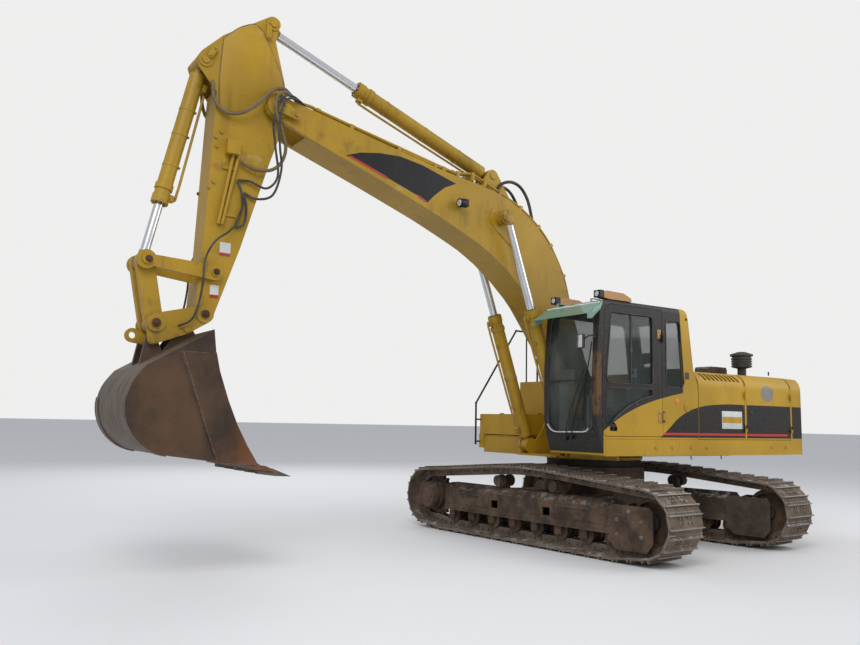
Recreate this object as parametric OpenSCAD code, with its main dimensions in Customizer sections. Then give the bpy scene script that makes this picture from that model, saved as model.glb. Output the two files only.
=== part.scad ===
// Crawler excavator, 28 tonne class, with a short heavy boom and a quick coupler.
// Millimetres, +Z up, +X towards the bucket, +Y towards the cab side, ground at Z = 0.
// Inside the modules X and Y are counted from the swing axis; at_swing() puts that axis in place.
// Points of the arm are [x, z] in the machine's middle plane, as it stands parked.

/* [Stance] */
// Turn of the undercarriage under the house
under_turn = 94.9; // [80:0.1:110]

/* [Undercarriage] */
// Distance between idler and sprocket centres
wheelbase = 3830; // [3500:10:4000]
// Distance between the middles of the two tracks
gauge = 2390; // [2300:10:2600]
// Width of a track shoe
shoe_w = 600; // [500:10:700]
// Number of shoes in one track
shoe_count = 49; // [46:1:52]
// Thickness of a shoe plate
shoe_t = 12; // [10:1:16]
// Height of a grouser above its shoe plate
grouser_h = 26; // [20:1:32]
// Height of a track link
link_h = 104; // [90:2:120]
// Radius of the pitch line round idler and sprocket
pitch_r = 315; // [300:5:330]
// Height of idler and sprocket centres
hub_z = 453; // [445:1:470]
// Distance from the idler's centre back to the flat part of the bottom run
flat_end = 415; // [350:5:480]
// Climb of the top run from idler and sprocket up to the carrier rollers
top_climb = 4.6; // [1:0.1:6]
// Number of track rollers on one side
roller_count = 8; // [6:1:9]
// Radius of a track roller
roller_r = 92; // [85:1:96]
// Half width of the track frame's box
frame_hw = 165; // [150:5:190]
// Outer radius of the swing bearing
bearing_r = 640; // [600:10:700]

/* [House] */
// Width of the house over its side panels
house_w = 2850; // [2700:10:2980]
// Height of the underside of the side sills
sill_z = 1150; // [1120:5:1180]
// Height of the sills' top and of the deck
deck_z = 1350; // [1330:5:1380]
// Front end of the cab
cab_front = 1340; // [1300:10:1400]
// Rear face of the cab
cab_rear = -450; // [-500:10:-400]
// Gap between the boom cylinders and the cab
cab_gap = 30; // [20:5:60]
// Height of the cab roof
roof_z = 3015; // [2950:5:3080]
// Front face of the counterweight
weight_front = -2470; // [-2550:10:-2400]
// Swing radius of the counterweight's tail
tail_r = 3050; // [3000:10:3120]
// Height of the engine hood
hood_z = 2235; // [2150:5:2300]
// Radius of the house's round shoulders
shoulder_r = 200; // [150:10:220]
// Thickness of a side door or panel
panel_t = 30; // [20:2:40]
// Gap round doors and lids
gap = 6; // [5:1:12]

/* [Arm pivots] */
// Boom foot
foot = [280, 1815];
// Boom nose, where the stick hangs
nose = [4940, 4890];
// Boom cylinder base pin on the house
boom_base = [860, 1225];
// Boom cylinder rod pin on the boom
boom_rod = [1870, 4120];
// Stick cylinder base pin on the boom
stick_base = [1890, 4710];
// Stick cylinder rod pin on the stick
stick_rod = [5005, 5850];
// Bucket cylinder base pin on the stick
bucket_base = [5735, 5240];
// Joint of side links, connecting link and bucket cylinder rod
link_pin = [6215, 3040];
// Side link pin on the stick
side_pin = [5530, 2980];
// Stick end, where the coupler hangs
stick_end = [5612, 2545];
// Connecting link pin on the coupler
coupler_pin = [6090, 2420];

/* [Boom] */
// Half width of the boom box
boom_hw = 240; // [220:5:260]
// Direction of the lower leg
leg_angle = 62; // [58:0.5:66]
// Direction of the upper leg
arm_angle = 15.3; // [14:0.1:17]
// Radius of the bend's middle line
bend_r = 1900; // [1500:50:2200]
// Thickness of the boom's plates
boom_t = 14; // [10:1:20]
// Distance of each boom cylinder from the middle plane
boom_cyl_y = 385; // [370:5:400]

/* [Stick and links] */
// Half width of the stick box
stick_hw = 165; // [150:5:175]
// Thickness of the stick's plates
stick_t = 14; // [10:1:20]
// Side gap between neighbouring eyes and plates
side_gap = 8; // [5:1:12]
// Thickness of a side link
link_t = 45; // [35:1:55]

/* [Cylinders] */
// Radius of a boom cylinder's barrel
boom_barrel_r = 85; // [80:1:92]
// Radius of a boom cylinder's rod
boom_rod_r = 50; // [45:1:55]
// Radius of the stick cylinder's barrel
stick_barrel_r = 90; // [85:1:96]
// Radius of the stick cylinder's rod
stick_rod_r = 52; // [48:1:58]
// Radius of the bucket cylinder's barrel
bucket_barrel_r = 80; // [75:1:88]
// Radius of the bucket cylinder's rod
bucket_rod_r = 47; // [42:1:52]
// Radial clearance of a pin in its bore
fit = 0.05; // [0.02:0.01:0.1]

/* [Bucket] */
// Middle of the bucket's round heel
heel_c = [5960, 1610];
// Radius of the bucket's heel
heel_r = 475; // [440:5:500]
// Outer width of the bucket
bucket_w = 1340; // [1200:20:1400]
// Thickness of the bucket's shell and side plates
bucket_t = 25; // [20:1:32]
// Number of teeth
tooth_count = 5; // [4:1:6]

/* [Hidden] */
$fn = 48;
eps = 0.01;
// Place of the swing axis that puts the middle of the whole length at X = 0
swing_x = (tail_r - (heel_c[0] + heel_r)) / 2;
house_hw = house_w / 2;
track_y = gauge / 2;

// Colours
paint = [0.83, 0.60, 0.12];
black = [0.07, 0.07, 0.08];
chrome = [0.75, 0.76, 0.78];
rust = [0.33, 0.20, 0.13];
mud = [0.22, 0.18, 0.15];
tint = [0.45, 0.55, 0.50, 0.4];

// Moves what is built round the swing axis to its place in the machine
module at_swing() { translate([swing_x, 0, 0]) children(); }

// A plate or block with the outline of its child in X and Z, from y0 to y1
module slab(y0, y1) { translate([0, y1, 0]) rotate([90, 0, 0]) linear_extrude(y1 - y0) children(); }

// The same on both sides of the middle plane
module pair(y0, y1) {
    slab(y0, y1) children();
    slab(-y1, -y0) children();
}

// A block given by its lowest and highest corner
module block(a, b) { translate(a) cube([b[0] - a[0], b[1] - a[1], b[2] - a[2]]); }

// A round bar along Y at point p
module bar(p, r, y0, y1) { translate([p[0], y1, p[1]]) rotate([90, 0, 0]) cylinder(r = r, h = y1 - y0); }
module bars(p, r, y0, y1) {
    bar(p, r, y0, y1);
    bar(p, r, -y1, -y0);
}

// Frame whose Z axis runs from p towards q in the plane y
module along(p, q, y = 0) {
    translate([p[0], y, p[1]]) rotate([0, angle_of(q - p) * -1 + 90, 0]) children();
}
function angle_of(v) = atan2(v[1], v[0]);
function unit(v) = v / norm(v);
function left_of(v) = [-v[1], v[0]];
function polar(r, a) = [r * cos(a), r * sin(a)];
function arc(c, r, a0, a1, n) = [for (i = [0:n]) c + polar(r, a0 + (a1 - a0) * i / n)];

// A plate of thickness t on the left of the line from a to b, between the side plates
module web(a, b, t, hw) {
    n = left_of(unit(b - a)) * t;
    slab(-hw, hw) polygon([a, b, b + n, a + n]);
}

// A flat bar in X and Z with round ends
module strap_outline(a, ra, b, rb) {
    hull() {
        translate(a) circle(r = ra);
        translate(b) circle(r = rb);
    }
}

// Undercarriage, built along its own X axis with the idlers ahead

module under() { at_swing() rotate([0, 0, under_turn]) children(); }

pitch_low = grouser_h + shoe_t + link_h / 2;
flat_half = wheelbase / 2 - flat_end;
ramp = atan2(hub_z - pitch_low, wheelbase / 2 - flat_half)
    - asin(pitch_r / norm([wheelbase / 2 - flat_half, hub_z - pitch_low]));
arch_half = 560;
arch_r = arch_half / sin(top_climb);
climb_len = (wheelbase / 2 + pitch_r * sin(top_climb) - arch_half) / cos(top_climb);
arch_len = arch_r * top_climb * PI / 180;
ramp_len = sqrt(pow(wheelbase / 2 - flat_half, 2) + pow(hub_z - pitch_low, 2) - pow(pitch_r, 2));
turn_len = pitch_r * (180 - ramp - top_climb) * PI / 180;
half_loop = flat_half + ramp_len + turn_len + climb_len + arch_len;
climb_z = hub_z + pitch_r * cos(top_climb);
shoe_pitch = 2 * half_loop / shoe_count;

// Point and direction of the pitch line at distance s from the middle of the bottom run
function half_at(s) =
    s <= flat_half ? [s, pitch_low, 0] :
    s <= flat_half + ramp_len ? [flat_half + (s - flat_half) * cos(ramp), pitch_low + (s - flat_half) * sin(ramp), ramp] :
    s <= flat_half + ramp_len + turn_len ? turn_at(ramp + (s - flat_half - ramp_len) / pitch_r * 180 / PI) :
    s <= half_loop - arch_len ? climb_at(s - flat_half - ramp_len - turn_len) :
    [arch_r * sin(arch_turn(s)), arch_z - arch_r + arch_r * cos(arch_turn(s)), 180 - arch_turn(s)];
function climb_at(t) = [wheelbase / 2 + pitch_r * sin(top_climb) - t * cos(top_climb), climb_z + t * sin(top_climb), 180 - top_climb];
function arch_turn(s) = (half_loop - s) / arch_r * 180 / PI;
arch_z = climb_z + climb_len * sin(top_climb) + arch_r * (1 - cos(top_climb));
function turn_at(a) = [wheelbase / 2 + pitch_r * sin(a), hub_z - pitch_r * cos(a), a];
function mirrored(q) = [-q[0], q[1], 360 - q[2]];
function loop_at(s) = s <= half_loop ? half_at(s) : mirrored(half_at(2 * half_loop - s));

// Points at [distance along, height outwards] from each shoe's middle
function shoe_points(shape) = [
    for (i = [0:shoe_count - 1])
        let (q = loop_at((i + 0.5) * shoe_pitch))
            for (p = shape)
                [q[0] + p[0] * cos(q[2]) + p[1] * sin(q[2]), q[1] + p[0] * sin(q[2]) - p[1] * cos(q[2])]
];

// Area between an outer and an inner outline
module ring(outer, inner) {
    n = len(outer);
    polygon(concat(outer, inner), [[for (i = [0:n - 1]) i], [for (i = [0:len(inner) - 1]) n + i]]);
}

module track(y) {
    up = link_h / 2;
    top = up + shoe_t;
    tip = top + grouser_h;
    half = shoe_pitch * 0.48;
    g0 = shoe_pitch * 0.30;
    shoe = [[-half, up], [-half + 2, tip], [-half + 12, tip], [-half + 18, top],
        [g0 - 9, top], [g0 - 5, tip], [g0 + 5, tip], [g0 + 9, top], [half, top], [half, up]];
    inner = [[-half, up - 8], [half, up - 8]];
    rail_out = [[-half * 0.8, up - 4], [half * 0.8, up - 4]];
    rail_in = [[-half * 0.7, -up], [half * 0.7, -up]];
    color(mud) {
        slab(y - shoe_w / 2, y + shoe_w / 2) ring(shoe_points(shoe), shoe_points(inner));
        for (side = [-1, 1])
            slab(y + side * 72 - 22, y + side * 72 + 22) ring(shoe_points(rail_out), shoe_points(rail_in));
    }
}

rail_z = grouser_h + shoe_t + link_h;
roller_z = rail_z + roller_r + 0.3;
carrier_r = 78;
carrier_x = 500;
carrier_z = arch_z - arch_r + sqrt(pow(arch_r, 2) - pow(carrier_x, 2)) - link_h / 2 - carrier_r - 1.5;
roller_step = 2 * (flat_half - 90) / (roller_count - 1);
box_low = roller_z + roller_r + 32;
box_high = carrier_z - carrier_r - 17;
frame_x0 = 360 - wheelbase / 2;
frame_x1 = wheelbase / 2 - 515;

// Rollers of one track: two flanged treads on a shaft that hangs under the frame
module rollers(y, out) {
    color(rust) for (i = [0:roller_count - 1]) {
        p = [-flat_half + 90 + i * roller_step, roller_z];
        for (side = [-1, 1]) {
            bar(p, roller_r, y + side * 72 - 27, y + side * 72 + 27);
            bar(p, roller_r + 22, y + side * 112 - 10, y + side * 112 + 10);
        }
        bar(p, roller_r - 25, y - 110, y + 110);
        bar(p, 34, y - 128, y + 128);
    }
    color(rust) for (x = [-carrier_x, carrier_x]) {
        p = [x, carrier_z];
        for (side = [-1, 1]) bar(p, carrier_r, y + side * 72 - 27, y + side * 72 + 27);
        bar(p, carrier_r - 22, y - 110, y + 110);
        bar(p, carrier_r - 8, y + out * 132 - 27, y + out * 132 + 27);
        block([x - 50, y - 40, box_high + 0.3], [x + 50, y + 40, carrier_z - 30]);
    }
}

// Track frame: box beam with sloping shoulders, roller shaft ears, guards and the idler's fork
module track_frame(y, out) {
    wall = 14;
    shoulder = 95;
    drop = 80;
    step_x = [-535, 405];
    color(mud) {
        difference() {
            translate([frame_x0, y, 0]) rotate([90, 0, 90]) linear_extrude(frame_x1 - frame_x0) frame_section(0, shoulder, drop);
            translate([frame_x0 + wall, y, 0]) rotate([90, 0, 90]) linear_extrude(frame_x1 - frame_x0 - 2 * wall)
                frame_section(wall, shoulder - 8, drop + 4);
            // Toe holes of the two steps
            for (x = step_x) block([x - 65, y + out * frame_hw - 40, 390], [x + 65, y + out * frame_hw + 40, 490]);
        }
        // Step plates round the toe holes, and stiffening bars beside them
        for (x = step_x) face_plate(y + out * (frame_hw + 4.5), 10) difference() {
            polygon([[x - 150, 365], [x - 110, 535], [x + 110, 535], [x + 150, 365]]);
            translate([x - 65, 390]) square([130, 100]);
        }
        for (x = [frame_x0 + 285, step_x[1] + 260]) face_plate(y + out * (frame_hw + 6.5), 14) translate([x, 518]) square([450, 26]);
        for (side = [-1, 1]) {
            // Ledge and shaft brackets beside the rollers
            block([frame_x0, y + side * (frame_hw + 9) - 10, box_low - 55], [frame_x1, y + side * (frame_hw + 9) + 10, box_low + 6]);
            block([frame_x0, y + side * (frame_hw + 16) - 18, box_low - 67], [frame_x1, y + side * (frame_hw + 16) + 18, box_low - 54]);
            for (i = [0:roller_count - 1]) {
                x = -flat_half + 90 + i * roller_step;
                block([x - 45, y + side * 147 - 18.5, roller_z - 45], [x + 45, y + side * 147 + 18.5, box_low + 1]);
            }
            // Idler guard with cut corners
            slab(y + side * 178 - 12, y + side * 178 + 12) polygon([[frame_x1, 230], [frame_x1, 596], [frame_x1 + 80, 625],
                [frame_x1 + 560, 625], [frame_x1 + 605, 580], [frame_x1 + 605, 230], [frame_x1 + 520, 135], [frame_x1 + 90, 135]]);
        }
        // Idler fork bottom
        block([frame_x1 - 15, y - 166, box_low + 20], [frame_x1 + 20, y + 166, box_high - 90]);
        // Final drive bracket
        block([frame_x0 - 195, y - out * 136.3 - 26, 330], [frame_x0 + 15, y - out * 136.3 + 26, 560]);
        block([frame_x0 - 30, y - 155, box_low + 5], [frame_x0 + 14, y + 155, box_high - 90]);
    }
}
module frame_section(inset, shoulder, drop) {
    polygon([[inset - frame_hw, box_low + inset], [frame_hw - inset, box_low + inset], [frame_hw - inset, box_high - drop],
        [frame_hw - shoulder, box_high - inset], [shoulder - frame_hw, box_high - inset], [inset - frame_hw, box_high - drop]]);
}
module face_plate(y, t) { slab(y - t / 2, y + t / 2) children(); }

module idler(y) {
    rim_r = pitch_r - link_h / 2 - 0.3;
    p = [wheelbase / 2, hub_z];
    color(rust) {
        difference() {
            union() {
                bar(p, rim_r, y - 94, y + 94);
                bar(p, rim_r + 22, y - 49, y + 49);
            }
            for (side = [-1, 1]) difference() {
                bar(p, rim_r - 35, y + side * 70 - 30, y + side * 70 + 30);
                bar(p, 90, y + side * 70 - 31, y + side * 70 + 31);
            }
        }
        bar(p, 48, y - 150, y + 150);
        for (side = [-1, 1]) block([p[0] - 150, y + side * 140 - 25.5, p[1] - 60], [p[0] + 60, y + side * 140 + 25.5, p[1] + 60]);
    }
}

// Sprocket ring with its final drive; the motor side points to the middle
module sprocket(y, out) {
    p = [-wheelbase / 2, hub_z];
    teeth = 21;
    root = pitch_r - 62;
    tip = pitch_r - 10;
    color(rust) {
        slab(y - 30, y + 30) difference() {
            polygon([for (i = [0:teeth - 1]) for (k = [[-0.32, root], [-0.14, tip], [0.14, tip], [0.32, root]])
                p + polar(k[1], (i + k[0]) * 360 / teeth)]);
            translate(p) circle(r = 180);
        }
        bar(p, 205, y - 110, y + 110);
        bar(p, 170, out > 0 ? y : y - 235, out > 0 ? y + 235 : y);
        bar(p, 185, out > 0 ? y + 150 : y - 200, out > 0 ? y + 200 : y - 150);
        bar(p, 150, out > 0 ? y - 260 : y, out > 0 ? y : y + 260);
    }
}

// Car body: centre box under the bearing with four legs to the track frames
module car_body() {
    inner = track_y - frame_hw - 0.3;
    color(mud) {
        difference() {
            union() {
                translate([0, 0, 480]) cylinder(r = bearing_r + 40, h = 480);
                for (sx = [-1, 1]) for (sy = [-1, 1])
                    translate([0, 0, box_low + 26]) linear_extrude(230) polygon([[sx * 150, sy * 300], [sx * 620, sy * 300],
                        [sx * 980, sy * inner], [sx * 560, sy * inner]]);
            }
            translate([0, 0, 494]) cylinder(r = bearing_r - 30, h = 500);
            translate([0, 0, 400]) cylinder(r = 240, h = 200);
        }
    }
}

module swing_bearing() {
    color(mud) translate([0, 0, 960]) {
        difference() {
            cylinder(r = bearing_r, h = 95);
            translate([0, 0, -1]) cylinder(r = bearing_r - 110, h = 100);
        }
    }
}

// Hinge with its pin on Z; the turning panel lies towards +X, its outer face hinge_off below the pin in Y
pin_r = 8;
knuckle_r = 15;
knuckle_h = 45;
hinge_off = knuckle_r + 1.5;

module fixed_hinge(len = 45) {
    translate([0, 0, -knuckle_h - 0.3]) cylinder(r = knuckle_r, h = knuckle_h);
    translate([0, 0, -10]) cylinder(r = pin_r, h = knuckle_h + 10);
    block([-len, -hinge_off - 1, -knuckle_h - 0.3], [0, -hinge_off + 6, -0.3]);
}
module turning_hinge() {
    difference() {
        union() {
            cylinder(r = knuckle_r, h = knuckle_h);
            block([0, -hinge_off - 1, 0], [45, -hinge_off + 6, knuckle_h]);
        }
        translate([0, 0, -1]) cylinder(r = pin_r + fit, h = knuckle_h + 2);
    }
}

// Places of the hinges: children are drawn at each one
module at_cab_hinges() { for (z = [1630, 2600]) translate([door_x0 + gap / 2, house_hw + hinge_off, z]) children(); }
module at_front_door_hinges() { for (z = [1500, 1950]) translate([front_door_x0 - gap / 2, house_hw + hinge_off, z]) children(); }
module at_rear_door_hinges() { for (z = [1500, 1950]) translate([rear_door_x0 - gap / 2, house_hw + hinge_off, z]) children(); }
module at_pump_door_hinges() { for (z = [1500, 1950]) translate([pump_door_x0 - gap / 2, -side_y - hinge_off, z]) mirror([0, 1, 0]) children(); }
module at_hood_hinges() { for (y = [560, 1180]) translate([hood_x1 + gap / 2, y, hood_z + hinge_off]) rotate([90, 0, 180]) children(); }
module at_lid_hinges() { for (x = [260, 560]) translate([x, lid_y + gap / 2, lid_z + hinge_off]) rotate([90, 0, -90]) children(); }

side_y = house_hw - 5;
front_door_x0 = -1402;
rear_door_x0 = weight_front + 40;
pump_door_x0 = -1445;
post_w = 30;
door_x_end = cab_rear - 14;
door_base = deck_z + 6;
shoulder_z = hood_z - shoulder_r;
shoulder_end = 80;
hood_y1 = house_hw - shoulder_r + shoulder_r * cos(shoulder_end) - 14;
post_top = shoulder_z + 40;
hood_x1 = cab_rear - 46;
lid_y = -506;
lid_z = 1640;

// House

// Platform: centre beams, side sills, decks, bearing ring, ears for boom and boom cylinders
module platform() {
    x0 = weight_front;
    x1 = 1040;
    bracket_y = 308;
    beam_y = bracket_y + 10.5;
    ear_y = boom_cyl_y + 96;
    color(paint) {
        difference() {
            union() {
                // Bottom plate and centre beams
                block([x0 + 10, -beam_y - 60, sill_z - 60], [x1, beam_y + 60, sill_z - 40]);
                for (s = [-1, 1]) block([x0 + 10, s * beam_y - 10.5, sill_z - 41], [700, s * beam_y + 10.5, deck_z - 12]);
                // Side sills
                for (s = [-1, 1]) difference() {
                    block([x0, s > 0 ? house_hw - 110 : -house_hw, sill_z], [s > 0 ? cab_front - 140 : x1 - 120, s > 0 ? house_hw : -house_hw + 110, deck_z]);
                    block([x0 - 1, s > 0 ? house_hw - 104 : -house_hw + 6, sill_z + 6], [s > 0 ? cab_front - 146 : x1 - 126, s > 0 ? house_hw - 6 : -house_hw + 104, deck_z - 6]);
                }
                // Cross beams
                for (x = [x0 + 10, -1500, -620, 500]) for (s = [-1, 1])
                    block([x, s > 0 ? beam_y + 9 : -house_hw + 109, sill_z + 10], [x + 40, s > 0 ? house_hw - 109 : -beam_y - 9, deck_z - 15]);
                for (s = [-1, 1])
                    block([x1 - 170, s > 0 ? ear_y : -house_hw + 109, sill_z - 59], [x1 - 130, s > 0 ? house_hw - 109 : -ear_y, deck_z - 15]);
                // Deck plates
                for (s = [-1, 1]) {
                    block([x0 + 10, s > 0 ? beam_y - 9 : -house_hw + 109, deck_z - 20], [640, s > 0 ? house_hw - 109 : -beam_y + 9, deck_z - 12]);
                    block([630, s > 0 ? ear_y : -house_hw + 109, deck_z - 20], [x1 - 120, s > 0 ? house_hw - 109 : -ear_y, deck_z - 12]);
                }
                // Boom foot and cylinder ears
                pair(bracket_y - 0.5, bracket_y + 21.5) polygon([[-520, sill_z - 45], [900, sill_z - 45],
                    for (a = [-20:20:140]) boom_base + polar(95, a), [690, 1390],
                    for (a = [10:20:170]) foot + polar(170, a), [-300, 1500]]);
                bars(foot, 110, bracket_y + 20, bracket_y + 45);
                pair(boom_cyl_y + 62, boom_cyl_y + 97) strap_outline(boom_base, 95, boom_base - [80, 20], 95);
                block([x1 - 330, -boom_cyl_y - 97, sill_z - 60], [x1 - 60, boom_cyl_y + 97, sill_z - 40]);
                for (s = [-1, 1]) {
                    block([x1 - 400, s * (boom_cyl_y + 79.5) - 17.5, sill_z - 41], [x1 - 100, s * (boom_cyl_y + 79.5) + 17.5, boom_base[1] - 40]);
                }
                // Ring on the bearing
                translate([0, 0, 1055.3]) cylinder(r = bearing_r + 20, h = sill_z - 60 - 1055.2);
            }
            translate([0, 0, 1050]) cylinder(r = bearing_r - 110, h = 40);
        }
        // Pins of boom foot and boom cylinders
        bar(foot, 50, -bracket_y - 60, bracket_y + 60);
        bars(boom_base, 45, bracket_y + 20, boom_cyl_y + 110);
    }
}

// Counterweight: cast block with a round tail, sloping top edge and lifting eyes
module counterweight() {
    front = weight_front - 0.3;
    hw = house_hw - 4;
    hole_x = weight_front - 130;
    nose_r = 260;
    top = hood_z;
    color(paint) difference() {
        intersection() {
            // Plan: round tail between upright sides
            translate([0, 0, sill_z + 2]) linear_extrude(top - sill_z) intersection() {
                translate([-tail_r - 20, -hw]) square([tail_r + 20 + front, 2 * hw]);
                circle(r = tail_r, $fn = 160);
            }
            // Side view: round upper tail, raked lower edge
            slab(-house_hw, house_hw) polygon(concat([[front + 1, sill_z]], [[front + 1, top]],
                arc([-tail_r + 60 + nose_r, top - 15 - nose_r], nose_r, 90, 180, 10),
                [[-tail_r - 20, top - 650], [-tail_r - 20, sill_z + 150], [-tail_r + 110, sill_z]]));
            // Front view: the house's round shoulders
            translate([-tail_r - 30, 0, 0]) rotate([90, 0, 90]) linear_extrude(tail_r + 30 + front)
                polygon(concat([[-hw, sill_z], [hw, sill_z]], arc([hw - shoulder_r, top - shoulder_r], shoulder_r, 0, 90, 10),
                    arc([shoulder_r - hw, top - shoulder_r], shoulder_r, 90, 180, 10)));
        }
        // Holes in the top for the lifting eye bolts
        for (s = [-1, 1]) translate([hole_x, s * 700, top - 62]) cylinder(r = 28, h = 80);
        // Hand pockets low in the tail
        for (s = [-1, 1]) block([-tail_r - 50, s * 560 - 110, sill_z + 150], [-tail_r + 160, s * 560 + 110, sill_z + 240]);
    }
}

cab_y1 = house_hw;
cab_y0 = boom_cyl_y + boom_barrel_r + cab_gap;
cab_floor = deck_z + 50;
// Side outline of the cab
cab_side = [[cab_rear, deck_z + 2], [cab_rear, 2020], [cab_rear + 22, 2090], [cab_rear + 80, 2230], [cab_rear + 165, 2850], [cab_rear + 200, roof_z - 45],
    [cab_rear + 225, roof_z - 12], [cab_rear + 270, roof_z],
    [cab_front - 225, roof_z], [cab_front - 150, roof_z - 16], [cab_front - 95, roof_z - 60], [cab_front - 55, roof_z - 130], [cab_front, 2200], [cab_front, 1560],
    [cab_front - 30, 1400], [cab_front - 110, sill_z + 10], [cab_front - 135, sill_z], [cab_front - 135, deck_z + 2]];
door_x0 = 215;
door_x1 = 1265;

module cab_outline(inset) { offset(delta = -inset) polygon(cab_side); }

// Opening in the left wall that the door closes
module door_outline(grow) {
    offset(delta = grow) polygon([[door_x0, deck_z + 30], [door_x0, 2960], [door_x1 - 150, 2960], [door_x1 - 60, 2890],
        [door_x1 - 15, 2200], [door_x1, 1560], [door_x1 - 20, 1420], [door_x1 - 60, deck_z + 30]]);
}

// Windows as [name, x0, x1, z0, z1]
rear_quarter = [[-135, 1990], [-185, 2060], [-120, 2800], [-95, 2835], [115, 2835], [145, 2800], [145, 2040], [115, 2000]];
// Right side window and rear window
right_window = [[-180, 1860], [-200, 1980], [-110, 2800], [-60, 2860], [1080, 2880], [1130, 2830], [1205, 2200], [1220, 1700], [1180, 1640], [300, 1640]];
// Windscreen from the front, in Y and Z
screen_low = 1430;
screen_top = roof_z - 150;
module screen_outline(inset) {
    r = 130;
    y0 = cab_y0 + 82 + inset;
    y1 = cab_y1 - 82 - inset;
    z0 = screen_low + inset;
    z1 = screen_top - inset;
    polygon(concat(arc([y0 + r, z0 + r], r, 180, 270, 6), arc([y1 - r, z0 + r], r, 270, 360, 6),
        arc([y1 - 50, z1 - 50], 50, 0, 90, 4), arc([y0 + 50, z1 - 50], 50, 90, 180, 4)));
}
module from_front(x0, x1) { translate([x0, 0, 0]) rotate([90, 0, 90]) linear_extrude(x1 - x0) children(); }

module cab_shell() {
    wall = 45;
    r = 70;
    color(black) difference() {
        intersection() {
            slab(cab_y0, cab_y1) polygon(cab_side);
            // Round roof edges
            from_front(cab_rear - 1, cab_front + 1) polygon(concat([[cab_y0 - 1, sill_z - 1], [cab_y1 + 1, sill_z - 1], [cab_y1 + 1, roof_z - r]],
                arc([cab_y1 - r, roof_z - r], r, 0, 90, 6), arc([cab_y0 + r, roof_z - r], r, 90, 180, 6), [[cab_y0 - 1, roof_z - r]]));
        }
        slab(cab_y0 + wall, cab_y1 - wall) difference() {
            cab_outline(wall);
            translate([-2000, 0]) square([5000, cab_floor]);
        }
        // Door opening
        slab(cab_y1 - wall - 1, cab_y1 + 2) door_outline(0);
        // Rear quarter window
        slab(cab_y1 - wall - 1, cab_y1 + 2) polygon(rear_quarter);
        // Right side window
        slab(cab_y0 - 2, cab_y0 + wall + 1) polygon(right_window);
        // Windscreen
        from_front(cab_front - 300, cab_front + 10) screen_outline(0);
        // Rear window
        block([cab_rear - 10, cab_y0 + 100, 2260], [cab_rear + 300, cab_y1 - 100, roof_z - 160]);
        // Roof hatch
        block([200, cab_y0 + 200, roof_z - 60], [900, cab_y1 - 200, roof_z + 1]);
        // Shallow channel along the left roof edge and round caps' seats on the corner post
        slab(cab_y1 - 6, cab_y1 + 2) polygon([[-150, 2960], [-110, 2975], [1080, 2975], [1120, 2965], [1120, 2971], [1085, 2983], [-115, 2983], [-155, 2968]]);
    }
    // Rail of the upper windscreen across the front, and the cover's rim on the corner post
    color(black) slab(cab_y0 + 60, cab_y1 - 60) polygon([[cab_front - 28, 2030], [cab_front + 4, 2030], [cab_front + 4, 2050], [cab_front - 28, 2050]]);
    color(paint) bar([-240, 1760], 60, cab_y1 - 1, cab_y1 + 8);
    color(paint) at_cab_hinges() fixed_hinge();
}

module cab_glass() {
    pane = 8;
    color(tint) {
        intersection() {
            from_front(cab_front - 280, cab_front + 10) screen_outline(1);
            slab(cab_y0 + 60, cab_y1 - 60) difference() {
                cab_outline(12);
                cab_outline(12 + pane);
                translate([cab_front - 40, 2029]) square([60, 22]);
            }
        }
        slab(cab_y0 + 101, cab_y1 - 101) difference() {
            intersection() {
                cab_outline(12);
                translate([cab_rear - 5, 2261]) square([300, roof_z - 162 - 2261]);
            }
            cab_outline(12 + pane);
        }
        slab(cab_y1 - 22, cab_y1 - 22 + pane) offset(delta = -1) polygon(rear_quarter);
        slab(cab_y0 + 14, cab_y0 + 14 + pane) offset(delta = -1) polygon(right_window);
        block([201, cab_y0 + 201, roof_z - 30], [899, cab_y1 - 201, roof_z - 30 + pane]);
    }
}

// Door panes: the upper one with its sliding halves, and the low one that follows the curved panel
door_window = [[415, 2010], [385, 2045], [385, 2830], [415, 2860], [1060, 2860], [1105, 2820], [1185, 2080], [1150, 2010]];
low_window = [[400, 1955], [400, 1880], [620, 1825], [800, 1750], [960, 1655], [1080, 1565], [1150, 1500], [1190, 1560], [1180, 1930], [1155, 1955]];
handle_pocket = [[1015, 1445], [1125, 1445], [1140, 1460], [1120, 1530], [1085, 1555], [1040, 1530], [1010, 1480]];

module cab_door() {
    color(black) difference() {
        slab(cab_y1 - 44, cab_y1) door_outline(-gap);
        slab(cab_y1 - 45, cab_y1 + 1) polygon(door_window);
        slab(cab_y1 - 45, cab_y1 + 1) polygon(low_window);
        slab(cab_y1 - 28, cab_y1 + 1) polygon(handle_pocket);
    }
    // Handle in its pocket, and the slider's middle bar
    color(black) block([1050, cab_y1 - 29, 1470], [1070, cab_y1 - 6, 1515]);
    color(black) block([735, cab_y1 - 30, 2005], [765, cab_y1 - 14, 2865]);
    color(paint) at_cab_hinges() turning_hinge();
}

module cab_door_glass() {
    color(tint) slab(cab_y1 - 26, cab_y1 - 18) {
        difference() {
            offset(delta = -1) polygon(door_window);
            translate([734, 1990]) square([32, 900]);
        }
        offset(delta = -1) polygon(low_window);
    }
}

module cab_seat() {
    x = 250;
    y = (cab_y0 + cab_y1) / 2;
    color(black) {
        block([x - 180, y - 170, cab_floor + 0.3], [x + 200, y + 170, cab_floor + 230]);
        slab(y - 250, y + 250) offset(r = 40) offset(delta = -40) polygon([[x - 230, cab_floor + 230], [x + 300, cab_floor + 230],
            [x + 300, cab_floor + 350], [x - 130, cab_floor + 350], [x - 200, cab_floor + 920], [x - 320, cab_floor + 920]]);
        slab(y - 130, y + 130) offset(r = 30) offset(delta = -30) polygon([[x - 322, cab_floor + 921], [x - 205, cab_floor + 921], [x - 215, cab_floor + 1100], [x - 315, cab_floor + 1100]]);
    }
}

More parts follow.
